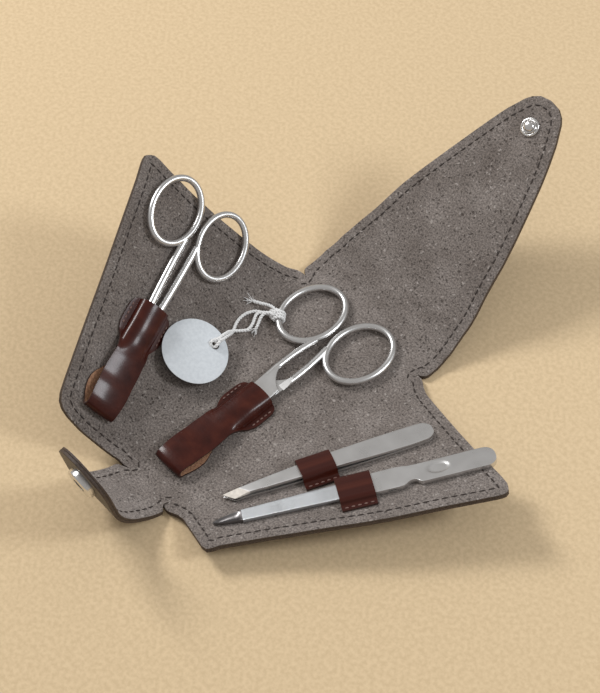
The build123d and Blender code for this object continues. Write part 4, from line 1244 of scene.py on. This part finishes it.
def smooth_line(points):
    """Closely spaced points on a smooth curve led by a few chosen ones, in metres."""
    curve = new_curve("way")
    spline = add_way(curve, points, "NURBS")
    spline.order_u = 3
    spline.use_endpoint_u = True
    spline.resolution_u = 24
    holder = bpy.data.objects.new("way", curve)
    scene.collection.objects.link(holder)
    drawn = bpy.data.meshes.new_from_object(holder)
    line = [vertex.co.copy() for vertex in drawn.vertices]
    bpy.data.objects.remove(holder)
    bpy.data.curves.remove(curve)
    bpy.data.meshes.remove(drawn)
    return line


def even_line(line, spacing):
    """The same line with points at an even spacing."""
    reach = [0.0]
    for a, b in zip(line, line[1:]):
        reach.append(reach[-1] + (b - a).length)
    count = max(3, round(reach[-1] / spacing))
    even, index = [], 0
    for step in range(count + 1):
        goal = reach[-1] * step / count
        while index < len(line) - 2 and reach[index + 1] < goal:
            index += 1
        part = clamp((goal - reach[index]) / max(reach[index + 1] - reach[index], 1e-9))
        even.append(line[index].lerp(line[index + 1], part))
    return even


def cotton_piece(name, curve):
    """The mesh of a curve's fibres, carried by the nail scissors."""
    drawn = bpy.data.objects.new(name, curve)
    scene.collection.objects.link(drawn)
    make_active(drawn)
    bpy.ops.object.convert(target="MESH")
    piece = bpy.context.object
    piece.name = piece.data.name = name
    piece.data.materials.append(cotton)
    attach(piece, "nail_scissors")
    return piece


def twisted_string(name, line):
    """Two plies laid round a line, as one mesh."""
    line = even_line(line, STRING_STEP)
    across = Vector((0, 0, 1)).cross(line[1] - line[0]).normalized()
    turned = [[], []]
    for step, point in enumerate(line):
        way = (line[min(step + 1, len(line) - 1)] - line[max(step - 1, 0)]).normalized()
        across = (across - way * across.dot(way)).normalized()
        up = way.cross(across)
        angle = 2 * math.pi * step * STRING_STEP / STRING_LAY
        for ply in (0, 1):
            turn = angle + math.pi * ply
            out = across * math.cos(turn) + up * math.sin(turn)
            turned[ply].append(point + out * STRING_DIAMETER * PLY_OFFSET)
    plies = new_curve(name)
    plies.bevel_depth = STRING_DIAMETER * PLY_RADIUS
    plies.bevel_resolution = 2
    plies.use_fill_caps = True
    for ply in turned:
        add_way(plies, ply)
    piece = cotton_piece(name, plies)
    bpy.ops.object.shade_smooth()
    return piece


def folding_strand(name, points):
    """A strand of the cord across the left fold, twisted, with a mesh of its own."""
    piece = twisted_string(name, smooth_line(points))
    crumple_with_wing(piece)
    return piece


def noise_way(x, y, z):
    """A direction made of three plain noises, so that it is the same on every run."""
    return Vector([noise.noise(Vector((x, y + 0.37, z + 5.3 * axis))) for axis in range(3)])


def frayed_end(name, root, way, seed):
    """Loose fibres that spread where a ply has come untwisted."""
    fibres = new_curve(name)
    fibres.bevel_depth = 0.00007
    fibres.bevel_resolution = 1
    root, way = Vector(root), Vector(way).normalized()
    for count in range(FRAY_FIBRES):
        spread = noise_way(count * 3.7, seed, 0.5)
        bend = noise_way(count * 2.3, seed, 7.5)
        start = root + spread * 0.00045
        fibre = []
        for step in range(6):
            share = step / 5
            place = start + way * FRAY_LENGTH * share + spread * FRAY_LENGTH * share
            place += bend * 0.0009 * share * share
            place.z = max(place.z, root.z - 0.0009)
            fibre.append(place)
        add_way(fibres, fibre)
    piece = cotton_piece(name, fibres)
    crumple_with_wing(piece)
    return piece


string_line = smooth_line(string_route)
string = twisted_string("tag_cord", string_line)
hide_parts("tag_string")
crumple_with_wing(string)

knot_at = Vector((-0.019874, 0.028451, 0.0039))
wire_way = Vector((-0.663, 0.749, 0)).normalized()
upward = Vector((0, 0, 1))
outward = upward.cross(wire_way).normalized()
soft_pieces = [
    tag,
    folding_strand("tag_cord_second_strand", [
        (-0.02370, 0.00300, 0.00975), (-0.02440, 0.00840, 0.00940), (-0.0255, 0.0120, 0.0058),
        (-0.0240, 0.0150, 0.0047), (-0.0228, 0.0172, 0.0043), (-0.0240, 0.0204, 0.0044),
        (-0.0262, 0.0236, 0.0052), (-0.0240, 0.0262, 0.0052), (-0.0218, 0.0285, 0.0050),
    ]),
    folding_strand("tag_cord_hole_loop", [
        (-0.02330, 0.0052, 0.0102), (-0.02440, 0.0028, 0.0106), (-0.02430, 0.0012, 0.0098),
        (-0.02330, 0.0016, 0.0084), (-0.02230, 0.0022, 0.0092), (-0.02220, 0.0034, 0.0102),
        (-0.02290, 0.0054, 0.0103),
    ]),
]
for count, slide in enumerate((-0.0006, 0.0006, 0.0018), start=1):
    wrap = []
    for step in range(WRAP_STEPS + 1):
        turn = 2 * math.pi * step / WRAP_STEPS
        wrap.append(
            knot_at + wire_way * slide + outward * math.cos(turn) * WRAP_RADIUS
            + upward * math.sin(turn) * WRAP_RADIUS
            + wire_way * WRAP_PITCH * (step / WRAP_STEPS - 0.5)
        )
    soft_pieces.append(twisted_string("ring_wrap_" + str(count), wrap))
soft_pieces += [
    folding_strand("knot_turn_1", [
        (-0.0212, 0.0292, 0.0058), (-0.0223, 0.0285, 0.0058), (-0.0226, 0.0272, 0.0048),
        (-0.0219, 0.0266, 0.0036), (-0.0209, 0.0272, 0.0034), (-0.0207, 0.0284, 0.0044),
        (-0.0212, 0.0294, 0.0056),
    ]),
    folding_strand("knot_turn_2", [
        (-0.0205, 0.0300, 0.0056), (-0.0221, 0.0296, 0.0060), (-0.0235, 0.0283, 0.0052),
        (-0.0233, 0.0270, 0.0042), (-0.0220, 0.0268, 0.0048), (-0.0212, 0.0280, 0.0058),
    ]),
    folding_strand("knot_tail_high", [
        (-0.0215, 0.0290, 0.0056), (-0.0236, 0.0292, 0.0060), (-0.0262, 0.0286, 0.0054),
        (-0.0284, 0.0266, 0.0060), (-0.0300, 0.0254, 0.0066),
    ]),
    folding_strand("knot_tail_low", [
        (-0.0218, 0.0278, 0.0050), (-0.0238, 0.0262, 0.0058), (-0.0240, 0.0238, 0.0050),
        (-0.0228, 0.0215, 0.0038), (-0.0222, 0.0200, 0.0034),
    ]),
    frayed_end("fray_high", (-0.0300, 0.0254, 0.0066), (-0.8, -0.5, 0.2), 1.0),
    frayed_end("fray_low", (-0.0222, 0.0200, 0.0034), (0.25, -0.9, 0.0), 2.0),
]
[tuple(point) for point in even_line(string_line, 0.0004)]

# ---------------------------------------------------------------- table and light
# A plain pale table top. A soft lamp stands high on the left; a weaker, cooler one
# behind on the right makes the glints on the glossy straps and the rings.
bpy.ops.object.select_all(action="DESELECT")
bpy.ops.mesh.primitive_plane_add(size=6, location=(0, 0, 0))
table = bpy.context.object
table.name = "table"
table.data.materials.append(speckled_finish(
    "table_top", 700.0, 3.0, [(0.35, (0.66, 0.50, 0.305)), (0.65, (0.75, 0.575, 0.36))],
    Roughness=0.85, Specular_IOR_Level=0.2,
))

world = bpy.data.worlds.new("room")
scene.world = world
world.use_nodes = True
sky = world.node_tree.nodes["Background"]
sky.inputs["Color"].default_value = (1.0, 0.97, 0.94, 1)
sky.inputs["Strength"].default_value = 0.42


def soft_lamp(name, place, size, power, colour):
    """A square lamp that points at the case."""
    lamp = bpy.data.lights.new(name, "AREA")
    lamp.shape = "RECTANGLE"
    lamp.size = lamp.size_y = size
    lamp.energy = power
    lamp.color = colour
    holder = bpy.data.objects.new(name, lamp)
    scene.collection.objects.link(holder)
    look_at(holder, place, (0, 0.02, 0))


soft_lamp("key", (-0.80, -0.11, 0.75), 0.3, 7.0, (1, 1, 1))
soft_lamp("glint", (0.57, 0.47, 0.60), 0.22, 3.3, (0.92, 0.96, 1.0))
scene.view_settings.view_transform = "Standard"
